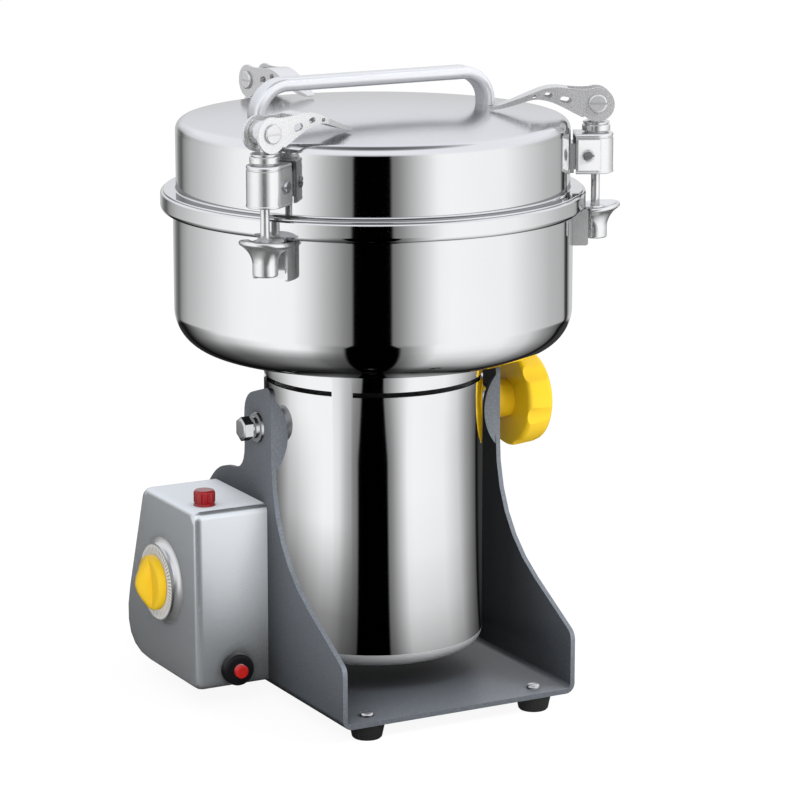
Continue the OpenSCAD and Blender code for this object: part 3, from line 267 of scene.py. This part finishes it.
# Pieces that polished steel doesn't mirror, since it shows only the bright studio
PLAIN_NEIGHBOURS = (
    "stand_frame", "control_box", "box_screws", "pivot_fasteners", "timer_bezel", "dial_plate",
    "timer_body", "timer_shaft", "timer_knob", "lamp_lens", "lamp_body", "cutout_body",
    "reset_button", "cord_bush",
)
FINISH = {
    "stand_frame": "paint", "feet": "rubber", "foot_screws": "zinc", "pivot_fasteners": "zinc",
    "control_box": "box", "box_screws": "zinc", "timer_bezel": "bezel", "dial_plate": "dial",
    "timer_body": "inner", "lamp_lens": "lamp", "lamp_body": "inner", "cutout_body": "black",
    "cord_bush": "rubber", "timer_knob": "yellow", "timer_shaft": "zinc", "reset_button": "red",
    "lock_knob": "yellow", "lock_stud": "zinc", "bowl": "steel", "bowl_flange": "steel",
    "motor_tube": "steel", "tube_base": "cap", "stator": "lamination", "bearings": "zinc",
    "upper_shield": "cast", "lower_shield": "cast", "brush_gear": "copper",
    "rim_gasket": "silicone", "shaft_seal": "rubber", "flange_screws": "zinc",
    "trunnions": "zinc", "catches": "latch", "shaft": "blade", "rotor_core": "lamination",
    "commutator": "copper", "cooling_fan": "inner", "lower_blade": "blade",
    "upper_blade": "blade", "blade_spacer": "blade", "blade_nut": "blade", "lid_shell": "steel",
    "handle": "satin", "handle_screws": "zinc", "latch_mounts": "latch", "swing_screws": "zinc",
}
for latch in LATCHES:
    FINISH.update({latch + "_housing": "latch", latch + "_rod": "latch", latch + "_pin": "pin",
                   latch + "_claw": "latch", latch + "_lever": "lever"})

SOFT_ANGLE = 32.0
WELD_REACH = 0.000002
NORMAL_WEIGHT = 80


def soften_group():
    """Node group that welds a mesh's seams and shades its bends round, moving no vertex."""
    group = bpy.data.node_groups.new("soften", "GeometryNodeTree")
    for way in ("INPUT", "OUTPUT"):
        group.interface.new_socket("Geometry", in_out=way, socket_type="NodeSocketGeometry")
    n = Nodes(group)
    first = n.add("NodeGroupInput")
    strip = n.add("GeometryNodeRemoveAttribute",
                  {"Geometry": first.outputs[0], "Name": "custom_normal"})
    weld = n.add("GeometryNodeMergeByDistance",
                 {"Geometry": strip.outputs[0], "Distance": WELD_REACH})
    bend = n.add("GeometryNodeInputMeshEdgeAngle").outputs["Unsigned Angle"]
    sharp = n.math("GREATER_THAN", bend, math.radians(SOFT_ANGLE))
    smooth = n.add("GeometryNodeSetShadeSmooth",
                   {"Geometry": weld.outputs[0], "Shade Smooth": True}, domain="FACE")
    crease = n.add("GeometryNodeSetShadeSmooth",
                   {"Geometry": smooth.outputs[0], "Selection": sharp, "Shade Smooth": False},
                   domain="EDGE")
    n.add("NodeGroupOutput", {0: crease.outputs[0]})
    return group


SOFTEN = soften_group()


def weigh_normals(obj):
    weigh = obj.modifiers.new("weigh", "WEIGHTED_NORMAL")
    weigh.keep_sharp = True
    weigh.weight = NORMAL_WEIGHT


def dress_frame():
    """Gives every piece of the frame its finish and softly shaded bends."""
    for name, obj in nodes.items():
        mat = M[FINISH[name]]
        if name in PLAIN_NEIGHBOURS:
            obj.visible_glossy = False
        if not obj.material_slots:
            obj.data.materials.append(mat)
        for s in obj.material_slots:
            s.material = mat
        obj.modifiers.new("soften", "NODES").node_group = SOFTEN
        weigh_normals(obj)


# Mesh helpers, which take points in millimetres
def finish_mesh(name, bm, mat, sharp=35.0):
    """Turns a bmesh into an object, smooth but for edges above the sharp angle."""
    mesh = bpy.data.meshes.new(name)
    bmesh.ops.recalc_face_normals(bm, faces=bm.faces)
    bm.to_mesh(mesh)
    bm.free()
    mesh.shade_smooth()
    mesh.set_sharp_from_angle(angle=math.radians(sharp))
    mesh.materials.append(M[mat])
    obj = bpy.data.objects.new(name, mesh)
    bpy.context.scene.collection.objects.link(obj)
    weigh_normals(obj)
    return obj


def arc(cx, cz, r, a0, a1, n):
    """Points along an arc from angle a0 to a1 in n steps."""
    angles = [math.radians(a0 + (a1 - a0) * i / n) for i in range(n + 1)]
    return [(cx + r * math.cos(a), cz + r * math.sin(a)) for a in angles]


# Summed length of two unit normals up to which a corner counts as sharp and isn't mitred
MITRE_LIMIT = 1.5


def offset_path(path, t):
    """The path moved to its left by t, with mitred corners."""
    out = []
    for i, (x, z) in enumerate(path):
        total = Vector((0.0, 0.0))
        for j in {max(i - 1, 0), min(i, len(path) - 2)}:
            dx, dz = path[j + 1][0] - path[j][0], path[j + 1][1] - path[j][1]
            length = math.hypot(dx, dz)
            total += Vector((-dz / length, dx / length))
        if total.length > MITRE_LIMIT:
            total = total * (2.0 / total.dot(total))
        else:
            total = total / total.dot(total)
        out.append((max(x + t * total.x, 0.0), z + t * total.y))
    return out


def sheet_outline(path, t):
    """Closed outline of a sheet of thickness t along a path."""
    return path + offset_path(path, t)[::-1]


def new_ring(bm, points):
    return [bm.verts.new((x * MM, y * MM, z * MM)) for x, y, z in points]


def join_rings(bm, a, b):
    """Quads between two closed rings of as many vertices."""
    count = len(a)
    for k in range(count):
        bm.faces.new((a[k], a[(k + 1) % count], b[(k + 1) % count], b[k]))


def ring_skin(bm, rings):
    """Quads between successive closed rings of points, with both ends filled."""
    loops = [new_ring(bm, ring) for ring in rings]
    for a, b in zip(loops, loops[1:]):
        join_rings(bm, a, b)
    bm.faces.new(loops[0][::-1])
    bm.faces.new(loops[-1])


def spin_rings(profile, segments, cx=0.0):
    """Rings of points from a profile of radius and height about the upright line at cx."""
    angles = [2 * math.pi * k / segments for k in range(segments)]
    return [[(cx + r * math.cos(a), r * math.sin(a), z) for a in angles] for r, z in profile]


# Steps round the large turned pieces, the small ones and the collars; radius of a point on the axis
LATHE_STEPS = 256
FINE_STEPS = 96
COLLAR_STEPS = 64
ON_AXIS = 1e-6


def lathe(name, outline, mat):
    """A solid of revolution about the drum's axis from a closed outline."""
    bm = bmesh.new()
    angles = [2 * math.pi * k / LATHE_STEPS for k in range(LATHE_STEPS)]
    rings = []
    for r, z in outline:
        if r < ON_AXIS:
            rings.append([bm.verts.new((0.0, 0.0, z * MM))])
        else:
            rings.append([bm.verts.new((r * MM * math.cos(a), r * MM * math.sin(a), z * MM))
                          for a in angles])
    for a, b in zip(rings, rings[1:] + rings[:1]):
        if len(a) > 1 and len(b) > 1:
            join_rings(bm, a, b)
        elif len(a) != len(b):
            for k in range(LATHE_STEPS):
                k2 = (k + 1) % LATHE_STEPS
                bm.faces.new((a[0], b[k2], b[k]) if len(a) == 1 else (a[k], a[k2], b[0]))
    return finish_mesh(name, bm, mat)


def bowl_path():
    """Outside of the bowl from the shaft's hole over floor, corner and wall to the rim's top."""
    low, corner = BOWL_Z - BOWL_SAG, BOWL_CORNER
    path = [(15.0, BOWL_Z), (71.0, BOWL_Z), (84.0, low)]
    path += arc(BOWL_R - corner, low + corner, corner, 270, 360, 24)
    path += [(BOWL_R, low + corner + 1), (BOWL_R, RIM_Z - 13.4)]
    path += arc(BOWL_R + 1.2, RIM_Z - 12.9, 1.2, 180, 135, 3)
    path += arc(RIM_R - 4.0, RIM_Z - 8.0, 4.0, 305, 358, 10)
    path += [(RIM_R, RIM_Z - 7.6), (RIM_R, RIM_Z - 1.8)]
    path += arc(RIM_R - 1.6, RIM_Z - 1.6, 1.6, 4, 90, 10)
    return path + [(RIM_R - 4.0, RIM_Z), (BOWL_R + 1.2, RIM_Z)]


LID_FLAT_R = LID_R - LID_ROUND
LID_DOME = 5.0
DOME_STEPS = 24


def lid_path():
    """Outside of the lid from the skirt's lower edge over the rounding to the dome's middle."""
    path = [(LID_R, RIM_Z - 10.0), (LID_R, LID_Z - LID_ROUND - 1.0)]
    path += arc(LID_FLAT_R, LID_Z - LID_ROUND, LID_ROUND, 0, 86, 20)
    for k in range(1, DOME_STEPS + 1):
        r = LID_FLAT_R * (1 - k / DOME_STEPS)
        path.append((r, LID_Z + LID_DOME * (1 - (r / LID_FLAT_R) ** 2)))
    return path


def bead_outline():
    """Thin flange of the lid on the bowl's rim, with a rounded edge and a fillet at the skirt."""
    low = RIM_Z + 0.03
    edge = RIM_R - 2.3
    outline = [(LID_R - 0.4, low), (edge + 0.6, low)] + arc(edge, low + 0.3, 0.6, 0, 90, 8)
    outline += [(LID_R + 1.0, low + 0.9)] + arc(LID_R + 1.0, low + 1.9, 1.0, 270, 180, 6)
    return outline + [(LID_R - 0.4, low + 2.1)]


# Faces of the lid that point up at least this much have the duller steel
FACING_UP = 0.9


def build_drum():
    """Bowl, lid and the lid's flange, turned in finer steps than the frame's."""
    bowl = lathe("bowl_shell", sheet_outline(bowl_path(), SHEET), "steel")
    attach(bowl, "drum")
    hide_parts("bowl")
    lid = lathe("lid_cover", sheet_outline(lid_path(), SHEET), "steel")
    lid.data.materials.append(M["lid_top"])
    for face in lid.data.polygons:
        if face.normal.z > FACING_UP:
            face.material_index = 1
    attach(lid, "lid")
    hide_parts("lid_shell")
    bead = lathe("lid_bead", bead_outline(), "steel")
    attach(bead, "lid")


def at_latch(bm, name):
    """Turns a mesh made in a latch's own frame of out, along and up to its place."""
    around = Matrix.Rotation(math.radians(LATCHES[name] - 90.0), 3, "Z")
    bmesh.ops.rotate(bm, verts=bm.verts, cent=(0, 0, 0), matrix=around)


def housing_plan(inset, z):
    """Half-round front and straight cheeks of a clamp housing, seen from above."""
    r = HOUSING_R - inset
    front = [math.radians(a) for a in range(-90, 91, 6)]
    pts = [(ROD_X + r * math.cos(a), r * math.sin(a)) for a in front]
    return [(x, y, z) for x, y in [(HOUSING_BACK, -r)] + pts + [(HOUSING_BACK, r)]]


def build_housing(name):
    """Folded housing with a rolled foot and a ring groove, and the collar that the cam bears on."""
    bm = bmesh.new()
    z0, z1 = HOUSING_Z, HOUSING_TOP
    skin = [(0.5, z0), (-0.15, z0 + 0.35), (-0.3, z0 + 0.9), (-0.15, z0 + 1.4), (0.0, z0 + 1.7),
            (0.0, z1 - 3.4), (0.1, z1 - 3.0), (0.45, z1 - 2.8), (0.45, z1 - 2.2), (0.1, z1 - 2.0),
            (0.0, z1 - 1.7), (0.0, z1 - 1.0), (0.3, z1 - 0.3), (1.0, z1)]
    wall = [new_ring(bm, housing_plan(inset, z)) for inset, z in skin]
    lining = [new_ring(bm, housing_plan(2.0, z)) for z in (z0, z1 - 2.0)]
    last = len(wall[0]) - 1
    for a, b in list(zip(wall, wall[1:])) + [(lining[0], wall[0]), (lining[1], lining[0])]:
        for k in range(last):
            bm.faces.new((a[k], a[k + 1], b[k + 1], b[k]))
    bm.faces.new(wall[-1])
    bm.faces.new(lining[1][::-1])
    for end in (0, last):
        bm.faces.new([ring[end] for ring in wall] + [lining[1][end], lining[0][end]])
    bm.faces.new((wall[-1][0], wall[-1][last], lining[1][last], lining[1][0]))
    collar = [(5.0, z1 - 0.6), (6.9, z1 - 0.6), (6.9, z1 + 0.6), (8.2, z1 + 0.9), (8.6, z1 + 1.4),
              (8.6, z1 + 4.4), (8.2, z1 + 4.9), (7.2, z1 + 5.1), (7.2, z1 + 5.7), (8.2, z1 + 5.9),
              (8.2, z1 + 6.4), (7.8, z1 + 6.65), (5.0, z1 + 6.65)]
    ring_skin(bm, spin_rings(collar, COLLAR_STEPS, ROD_X))
    at_latch(bm, name)
    obj = finish_mesh(name + "_clamp_housing", bm, "latch")
    if name != "front":
        add_cheeks(name)
    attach(obj, name + "_clamp")
    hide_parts(name + "_housing")


def add_cheeks(name):
    """Thin pale panels on both cheeks, framed by the housing's polished edges."""
    bm = bmesh.new()
    u0, u1 = HOUSING_BACK + 1.3, ROD_X + 1.5
    w0, w1 = HOUSING_Z + 2.2, HOUSING_TOP - 3.6
    for side in (-1, 1):
        faces = (side * (HOUSING_R - 0.2), side * (HOUSING_R + 0.12))
        ring_skin(bm, [[(u0, v, w0), (u1, v, w0), (u1, v, w1), (u0, v, w1)] for v in faces])
    at_latch(bm, name)
    obj = finish_mesh(name + "_clamp_cheeks", bm, "cheek")
    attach(obj, name + "_clamp")


def claw_profile(name):
    """Radius and height round the claw: foot, neck, curved flare, rolled edge and dished top."""
    low, top = CLAW_Z - 18.0, CLAW_Z
    sweep, middle = 11.16, CLAW_NECK_R + 11.16
    profile = [(3.0, low), (6.5, low), (7.2, low + 0.5), (CLAW_NECK_R, low + 1.2),
               (CLAW_NECK_R, low + 6.0)]
    for degrees in range(180, 117, -5):
        a = math.radians(degrees)
        profile.append((middle + sweep * math.cos(a), low + 6.5 + sweep * math.sin(a)))
    profile += [(14.9, top - 0.5), (15.5, top + 0.1), (CLAW_WIDE_R, top + 1.0), (15.3, top + 1.8),
                (14.6, top + 2.2), (13.4, top + 1.9), (11.0, top + 1.2), (8.0, top + 0.9),
                (5.2, top + 0.9), (4.8, top + 1.6), (3.0, top + 1.7)]
    # The flare ends at the claw's own radius, which keeps the rear one inside the outer box
    share = (CLAW_FLARE[name] - CLAW_NECK_R) / (CLAW_WIDE_R - CLAW_NECK_R)
    return [(CLAW_NECK_R + (r - CLAW_NECK_R) * share if r > CLAW_NECK_R else r, z)
            for r, z in profile]


def build_claw(name):
    """Flared cup under the bowl's rim, cut flat at the bowl, with a tongue and a pad inside."""
    bm = bmesh.new()
    loops = [new_ring(bm, ring) for ring in spin_rings(claw_profile(name), FINE_STEPS)]
    for a, b in zip(loops, loops[1:] + loops[:1]):
        join_rings(bm, a, b)
    for v in bm.verts:
        r = math.hypot(v.co.x, v.co.y) / MM
        share = min(max((r - CLAW_NECK_R) / CLAW_LEAN_REACH, 0.0), 1.0)
        v.co.z += v.co.x * math.sin(math.radians(CLAW_LEAN)) * share
        v.co.x += ROD_X * MM
    cut = bmesh.ops.bisect_plane(bm, geom=bm.verts[:] + bm.edges[:] + bm.faces[:], dist=0.000001,
                                 plane_co=((ROD_X - CLAW_CUT) * MM, 0, 0), plane_no=(-1, 0, 0),
                                 clear_outer=True)
    edges = [e for e in cut["geom_cut"] if isinstance(e, bmesh.types.BMEdge)]
    bmesh.ops.triangle_fill(bm, use_beauty=True, use_dissolve=False, edges=edges)
    # Tongue and pad that hook under the rim, with bevelled edges
    half, bevel = 8.6, 0.4
    for u0, u1, z0, z1 in ((ROD_X - 9.6, ROD_X - 4.0, CLAW_Z, CLAW_Z + 1.9),
                           (ROD_X - 9.6, ROD_X - 6.6, CLAW_Z + 0.2, CLAW_Z + 2.9)):
        layers = ((bevel, z0), (0.0, z0 + bevel), (0.0, z1 - bevel), (bevel, z1))
        ring_skin(bm, [[(u0 + i, -half + i, z), (u1, -half + i, z),
                        (u1, half - i, z), (u0 + i, half - i, z)] for i, z in layers])
    at_latch(bm, name)
    obj = finish_mesh(name + "_clamp_claw", bm, "latch", sharp=40.0)
    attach(obj, name + "_clamp")
    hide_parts(name + "_claw")


# Timer knob's fin: half its length, height at the ends and its rise to the middle, half its
# width likewise, the level of its foot, its turn from lying flat, and its steps
FIN_HALF = 16.2
FIN_CREST, FIN_CREST_RISE = 4.2, 8.75
FIN_WIDE, FIN_WIDE_RISE = 2.2, 3.4
FIN_FOOT = 3.0
FIN_TURN = 82
FIN_STEPS = 36
FIN_ACROSS = 14


def build_timer():
    """Timer knob: a round skirt with a curved fin that peaks in the middle."""
    bm = bmesh.new()
    skirt = [(3.2, 0.0), (16.6, 0.0), (17.0, 0.5), (17.0, 2.6), (16.6, 3.7), (15.6, 4.5),
             (14.0, 5.0), (0.6, 5.3)]
    ring_skin(bm, spin_rings(skirt, FINE_STEPS))
    rows = []
    for i in range(FIN_STEPS + 1):
        y = -FIN_HALF + 2 * FIN_HALF * i / FIN_STEPS
        t = abs(y) / FIN_HALF
        crest = FIN_CREST + FIN_CREST_RISE * (1.0 - t ** 1.7)
        wide = FIN_WIDE + FIN_WIDE_RISE * (1.0 - t ** 2.2)
        row = []
        for j in range(FIN_ACROSS + 1):
            a = math.pi * j / FIN_ACROSS
            x = wide * math.copysign(abs(math.cos(a)) ** 0.8, math.cos(a))
            x *= 1.0 + 0.25 * (1.0 - math.sin(a))
            row.append((x, y, FIN_FOOT + (crest - FIN_FOOT) * math.sin(a) ** 0.8))
        rows.append(row)
    ring_skin(bm, rows)
    # The knob's own z points out of the box, to the left, and the fin stands almost upright
    place = Matrix.Translation([v * MM for v in TIMER_PLACE])
    place = place @ Matrix.Rotation(math.radians(-90), 4, "Y")
    place = place @ Matrix.Rotation(math.radians(-FIN_TURN), 4, "Z")
    bmesh.ops.transform(bm, matrix=place, verts=bm.verts)
    obj = finish_mesh("timer_grip_knob", bm, "yellow", sharp=50.0)
    obj.visible_glossy = False
    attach(obj, "timer")
    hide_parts("timer_knob")


LAMP_RIBS = 16
RIB_DEPTH = 0.045


def build_lamp():
    """Ribbed lamp cap with a foot ring and a flat top."""
    bm = bmesh.new()
    profile = [(6.6, 0.0), (6.6, 0.7), (6.1, 1.1), (6.0, 1.6), (6.5, 2.2), (6.55, 7.6),
               (6.3, 8.6), (5.7, 9.3), (5.0, 9.5)]
    rings = []
    for r, z in profile:
        ring = []
        for k in range(FINE_STEPS):
            a = 2 * math.pi * k / FINE_STEPS
            rib = 1.0
            if 1.4 < z < 9.0:
                rib -= RIB_DEPTH * (0.5 - 0.5 * math.cos(LAMP_RIBS * a))
            ring.append((LAMP_PLACE[0] + r * rib * math.cos(a),
                         LAMP_PLACE[1] + r * rib * math.sin(a), LAMP_PLACE[2] + z))
        rings.append(ring)
    ring_skin(bm, rings)
    obj = finish_mesh("lamp_cap", bm, "lamp", sharp=60.0)
    obj.visible_glossy = False
    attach(obj, "stand")
    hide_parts("lamp_lens")


# Light tent that only glossy rays see: degrees from the camera's direction, and brightness there
TENT = [
    (-180, 0.62), (-160, 0.5), (-152, 0.2), (-145, 0.1), (-138, 0.3), (-128, 0.46), (-118, 0.54),
    (-100, 0.72), (-84, 0.9), (-70, 0.97), (-44, 0.96), (-36, 0.8), (-26, 0.5), (-15, 0.24),
    (-10.6, 0.17), (-10, 0.0), (10, 0.0), (10.6, 0.17), (15, 0.26), (26, 0.6), (37, 0.93),
    (44, 0.97), (80, 0.92), (98, 0.7), (118, 0.5), (133, 0.44), (138, 0.4), (141, 0.05),
    (145, 0.02), (149, 0.34), (153, 0.6), (180, 0.62),
]
CAMERA_AZIMUTH = math.atan2(CAMERA_PLACE[1], CAMERA_PLACE[0] - CAMERA_TARGET[0])

# The world by the height of a direction: share of the plain ceiling, and brightness
OVERHEAD = (0.83, 0.84, 0.88, 1.0)
OVERHEAD_SHARE = [(0.0, 0.0), (0.03, 0.0), (0.18, 0.6), (0.42, 1.0)]
CEILING = [(0.0, 1.0), (0.84, 1.0), (0.94, 0.3), (1.0, 0.12)]
REPEAT_FADE = 0.4

# Soft light for painted and plastic surfaces: strong from the right, weak from the left
SOFT_LIGHT = [(0.15, 0.24), (0.5, 0.45), (0.85, 0.76)]
SOFT_SLANT = (0.55, -0.45, 0.5)

# Near the machine the tent's dark band in front is wider, for the motor tube's smaller radius
BAND_EDGE = [(0.26, 0.0), (0.6, 1.0)]
BAND_MIDDLE = -0.29
BAND_RISE = 0.36
BAND_REACH = [(0.7, 1.0), (0.98, 0.0)]

# Card on the floor by the distance from the machine's middle in metres, and its dark sectors:
# a direction, the cosines where the sector starts and is full, and its strength by distance
CARD_R = 2.44
CARD_Z = 0.0002
CARD_FADE = [(0.0, 0.03), (0.09, 0.05), (0.125, 0.18), (0.15, 0.36), (0.2, 0.54), (0.28, 0.76),
             (0.42, 0.95), (0.6, 1.0)]
CARD_MIDDLE = 0.118
SECTORS = [
    # Behind the machine, which shades the bowl's lower corner
    ((0.466, 0.885, 0.0), (0.1, 0.75), [(0.88, 0.93), (1.1, 0.0)]),
    # To the near left, which shades the foot of the motor tube
    ((-0.975, 0.2215, 0.0), (0.15, 0.7), [(0.26, 0.62), (0.5, 0.0)]),
    # To the left and rear, which shades the side of the control box
    ((-0.6046, 0.7965, 0.0), (0.45, 0.85), [(0.3, 0.5), (0.6, 0.25), (0.85, 0.0)]),
]

FLOOR_R = 9.0
FLOOR_GLOW = 1.06
FLOOR_GLOW_SHARE = 0.87
LAMP_TARGET = (0, 0, 0.2)


def tent_value(n, vector, near=None):
    """Brightness of the light tent in a vector's compass direction, and the vector's height."""
    part = n.split(vector)
    c, s = math.cos(CAMERA_AZIMUTH), math.sin(CAMERA_AZIMUTH)
    along = n.math("ADD", n.math("MULTIPLY", part["X"], c), n.math("MULTIPLY", part["Y"], s))
    side = n.math("SUBTRACT", n.math("MULTIPLY", part["Y"], c), n.math("MULTIPLY", part["X"], s))
    angle = n.math("ARCTAN2", side, along)
    if near is not None:
        spread = n.ramp(n.math("ABSOLUTE", angle), BAND_EDGE)
        factor = n.math("MULTIPLY_ADD", spread, BAND_RISE, BAND_MIDDLE)
        angle = n.math("MULTIPLY", angle, n.math("MULTIPLY_ADD", factor, near, 1.0))
    place = n.math("MULTIPLY_ADD", angle, 0.5 / math.pi, 0.5)
    return n.ramp(place, [((a + 180) / 360, v) for a, v in TENT]), part["Z"]


def repeat_fade(n, path):
    """Share of the light that is left after repeated reflections."""
    repeats = n.math("SUBTRACT", n.math("MAXIMUM", path["Glossy Depth"], 1.0), 1.0)
    return n.math("POWER", REPEAT_FADE, repeats)


def build_world():
    """White to the camera, a light tent to polished surfaces and a soft light to the others."""
    world = bpy.data.worlds.new("studio")
    bpy.context.scene.world = world
    world.use_nodes = True
    n = Nodes(world.node_tree)
    path = n.add("ShaderNodeLightPath").outputs
    direction = n.coord("Generated")
    tent, height = tent_value(n, direction)
    share = n.ramp(height, OVERHEAD_SHARE)
    dim = n.math("MULTIPLY", n.ramp(height, CEILING), repeat_fade(n, path))
    tent = n.scale(n.mix(share, tent, OVERHEAD), dim)
    part = n.split(direction)
    x, y, z = (n.math("MULTIPLY", part[key], v) for key, v in zip("XYZ", SOFT_SLANT))
    slant = n.math("ADD", n.math("ADD", x, y), z)
    soft = n.ramp(n.math("MULTIPLY_ADD", slant, 0.5, 0.5), SOFT_LIGHT)
    undiffused = n.math("LESS_THAN", path["Diffuse Depth"], 0.5)
    light = n.mix(n.math("MULTIPLY", path["Is Glossy Ray"], undiffused), soft, tent)
    light = n.mix(path["Is Camera Ray"], light, (1.0, 1.0, 1.0, 1.0))
    n.put(light, world.node_tree.nodes["Background"].inputs["Color"])


def add_disc(name, radius, vertices, height, mat):
    bpy.ops.mesh.primitive_circle_add(vertices=vertices, radius=radius, fill_type="NGON",
                                      location=(0, 0, height))
    disc = bpy.context.object
    disc.name = name
    disc.data.materials.append(mat)
    return disc


def build_floor():
    """Pale floor that keeps the shadow."""
    mat = bpy.data.materials.new("floor")
    mat.use_nodes = True
    n = Nodes(mat.node_tree)
    bsdf = mat.node_tree.nodes["Principled BSDF"]
    bsdf.inputs["Base Color"].default_value = (0.92, 0.92, 0.92, 1.0)
    bsdf.inputs["Roughness"].default_value = 0.9
    bsdf.inputs["Specular IOR Level"].default_value = 0.0
    glow = n.add("ShaderNodeEmission", {"Strength": FLOOR_GLOW})
    seen = n.add("ShaderNodeLightPath").outputs["Is Camera Ray"]
    mix = n.add("ShaderNodeMixShader", {"Fac": n.math("MULTIPLY", seen, FLOOR_GLOW_SHARE),
                                        1: bsdf.outputs[0], 2: glow.outputs[0]})
    n.put(mix.outputs[0], mat.node_tree.nodes["Material Output"].inputs["Surface"])
    floor = add_disc("floor", FLOOR_R, 96, 0, mat)
    floor.visible_glossy = False


def build_card():
    """Card on the floor, seen by metal alone: dark under the machine, bright around it."""
    mat = bpy.data.materials.new("card")
    mat.use_nodes = True
    n = Nodes(mat.node_tree)
    mat.node_tree.nodes.remove(mat.node_tree.nodes["Principled BSDF"])
    place = n.coord()
    reach = n.add("ShaderNodeVectorMath", {0: place}, operation="LENGTH").outputs["Value"]
    value, _ = tent_value(n, place, n.ramp(reach, BAND_REACH))
    fade = n.ramp(reach, CARD_FADE)
    far = n.math("MAXIMUM", reach, CARD_MIDDLE)
    for direction, (start, full), strength in SECTORS:
        ahead = n.add("ShaderNodeVectorMath", {0: place, 1: direction}, operation="DOT_PRODUCT")
        cosine = n.math("DIVIDE", ahead.outputs["Value"], far)
        sector = n.ramp(cosine, [(start, 0.0), (full, 1.0)])
        shade = n.math("MULTIPLY", sector, n.ramp(reach, strength))
        fade = n.math("MULTIPLY", fade, n.math("SUBTRACT", 1.0, shade))
    again = repeat_fade(n, n.add("ShaderNodeLightPath").outputs)
    glow = n.math("MULTIPLY", n.math("MULTIPLY", value, fade), again)
    emission = n.add("ShaderNodeEmission", {"Color": glow})
    n.put(emission.outputs[0], mat.node_tree.nodes["Material Output"].inputs["Surface"])
    card = add_disc("card", CARD_R, 128, CARD_Z, mat)
    card.visible_camera = False
    card.visible_diffuse = False
    card.visible_shadow = False
    card.visible_transmission = False


def add_lamp(name, place, size, power):
    data = bpy.data.lights.new(name, "AREA")
    data.shape = "DISK"
    data.size = size
    data.energy = power
    lamp = bpy.data.objects.new(name, data)
    aim(lamp, place, LAMP_TARGET)
    lamp.visible_glossy = False


def build_studio():
    bpy.context.scene.view_settings.view_transform = "Standard"
    build_world()
    build_floor()
    build_card()
    add_lamp("key", (1.5, -1.7, 1.9), 1.0, 44)
    add_lamp("fill", (-1.4, -2.0, 1.8), 1.4, 30)


add_camera()
dress_frame()
build_drum()
for latch in LATCHES:
    build_housing(latch)
    build_claw(latch)
build_timer()
build_lamp()
build_studio()
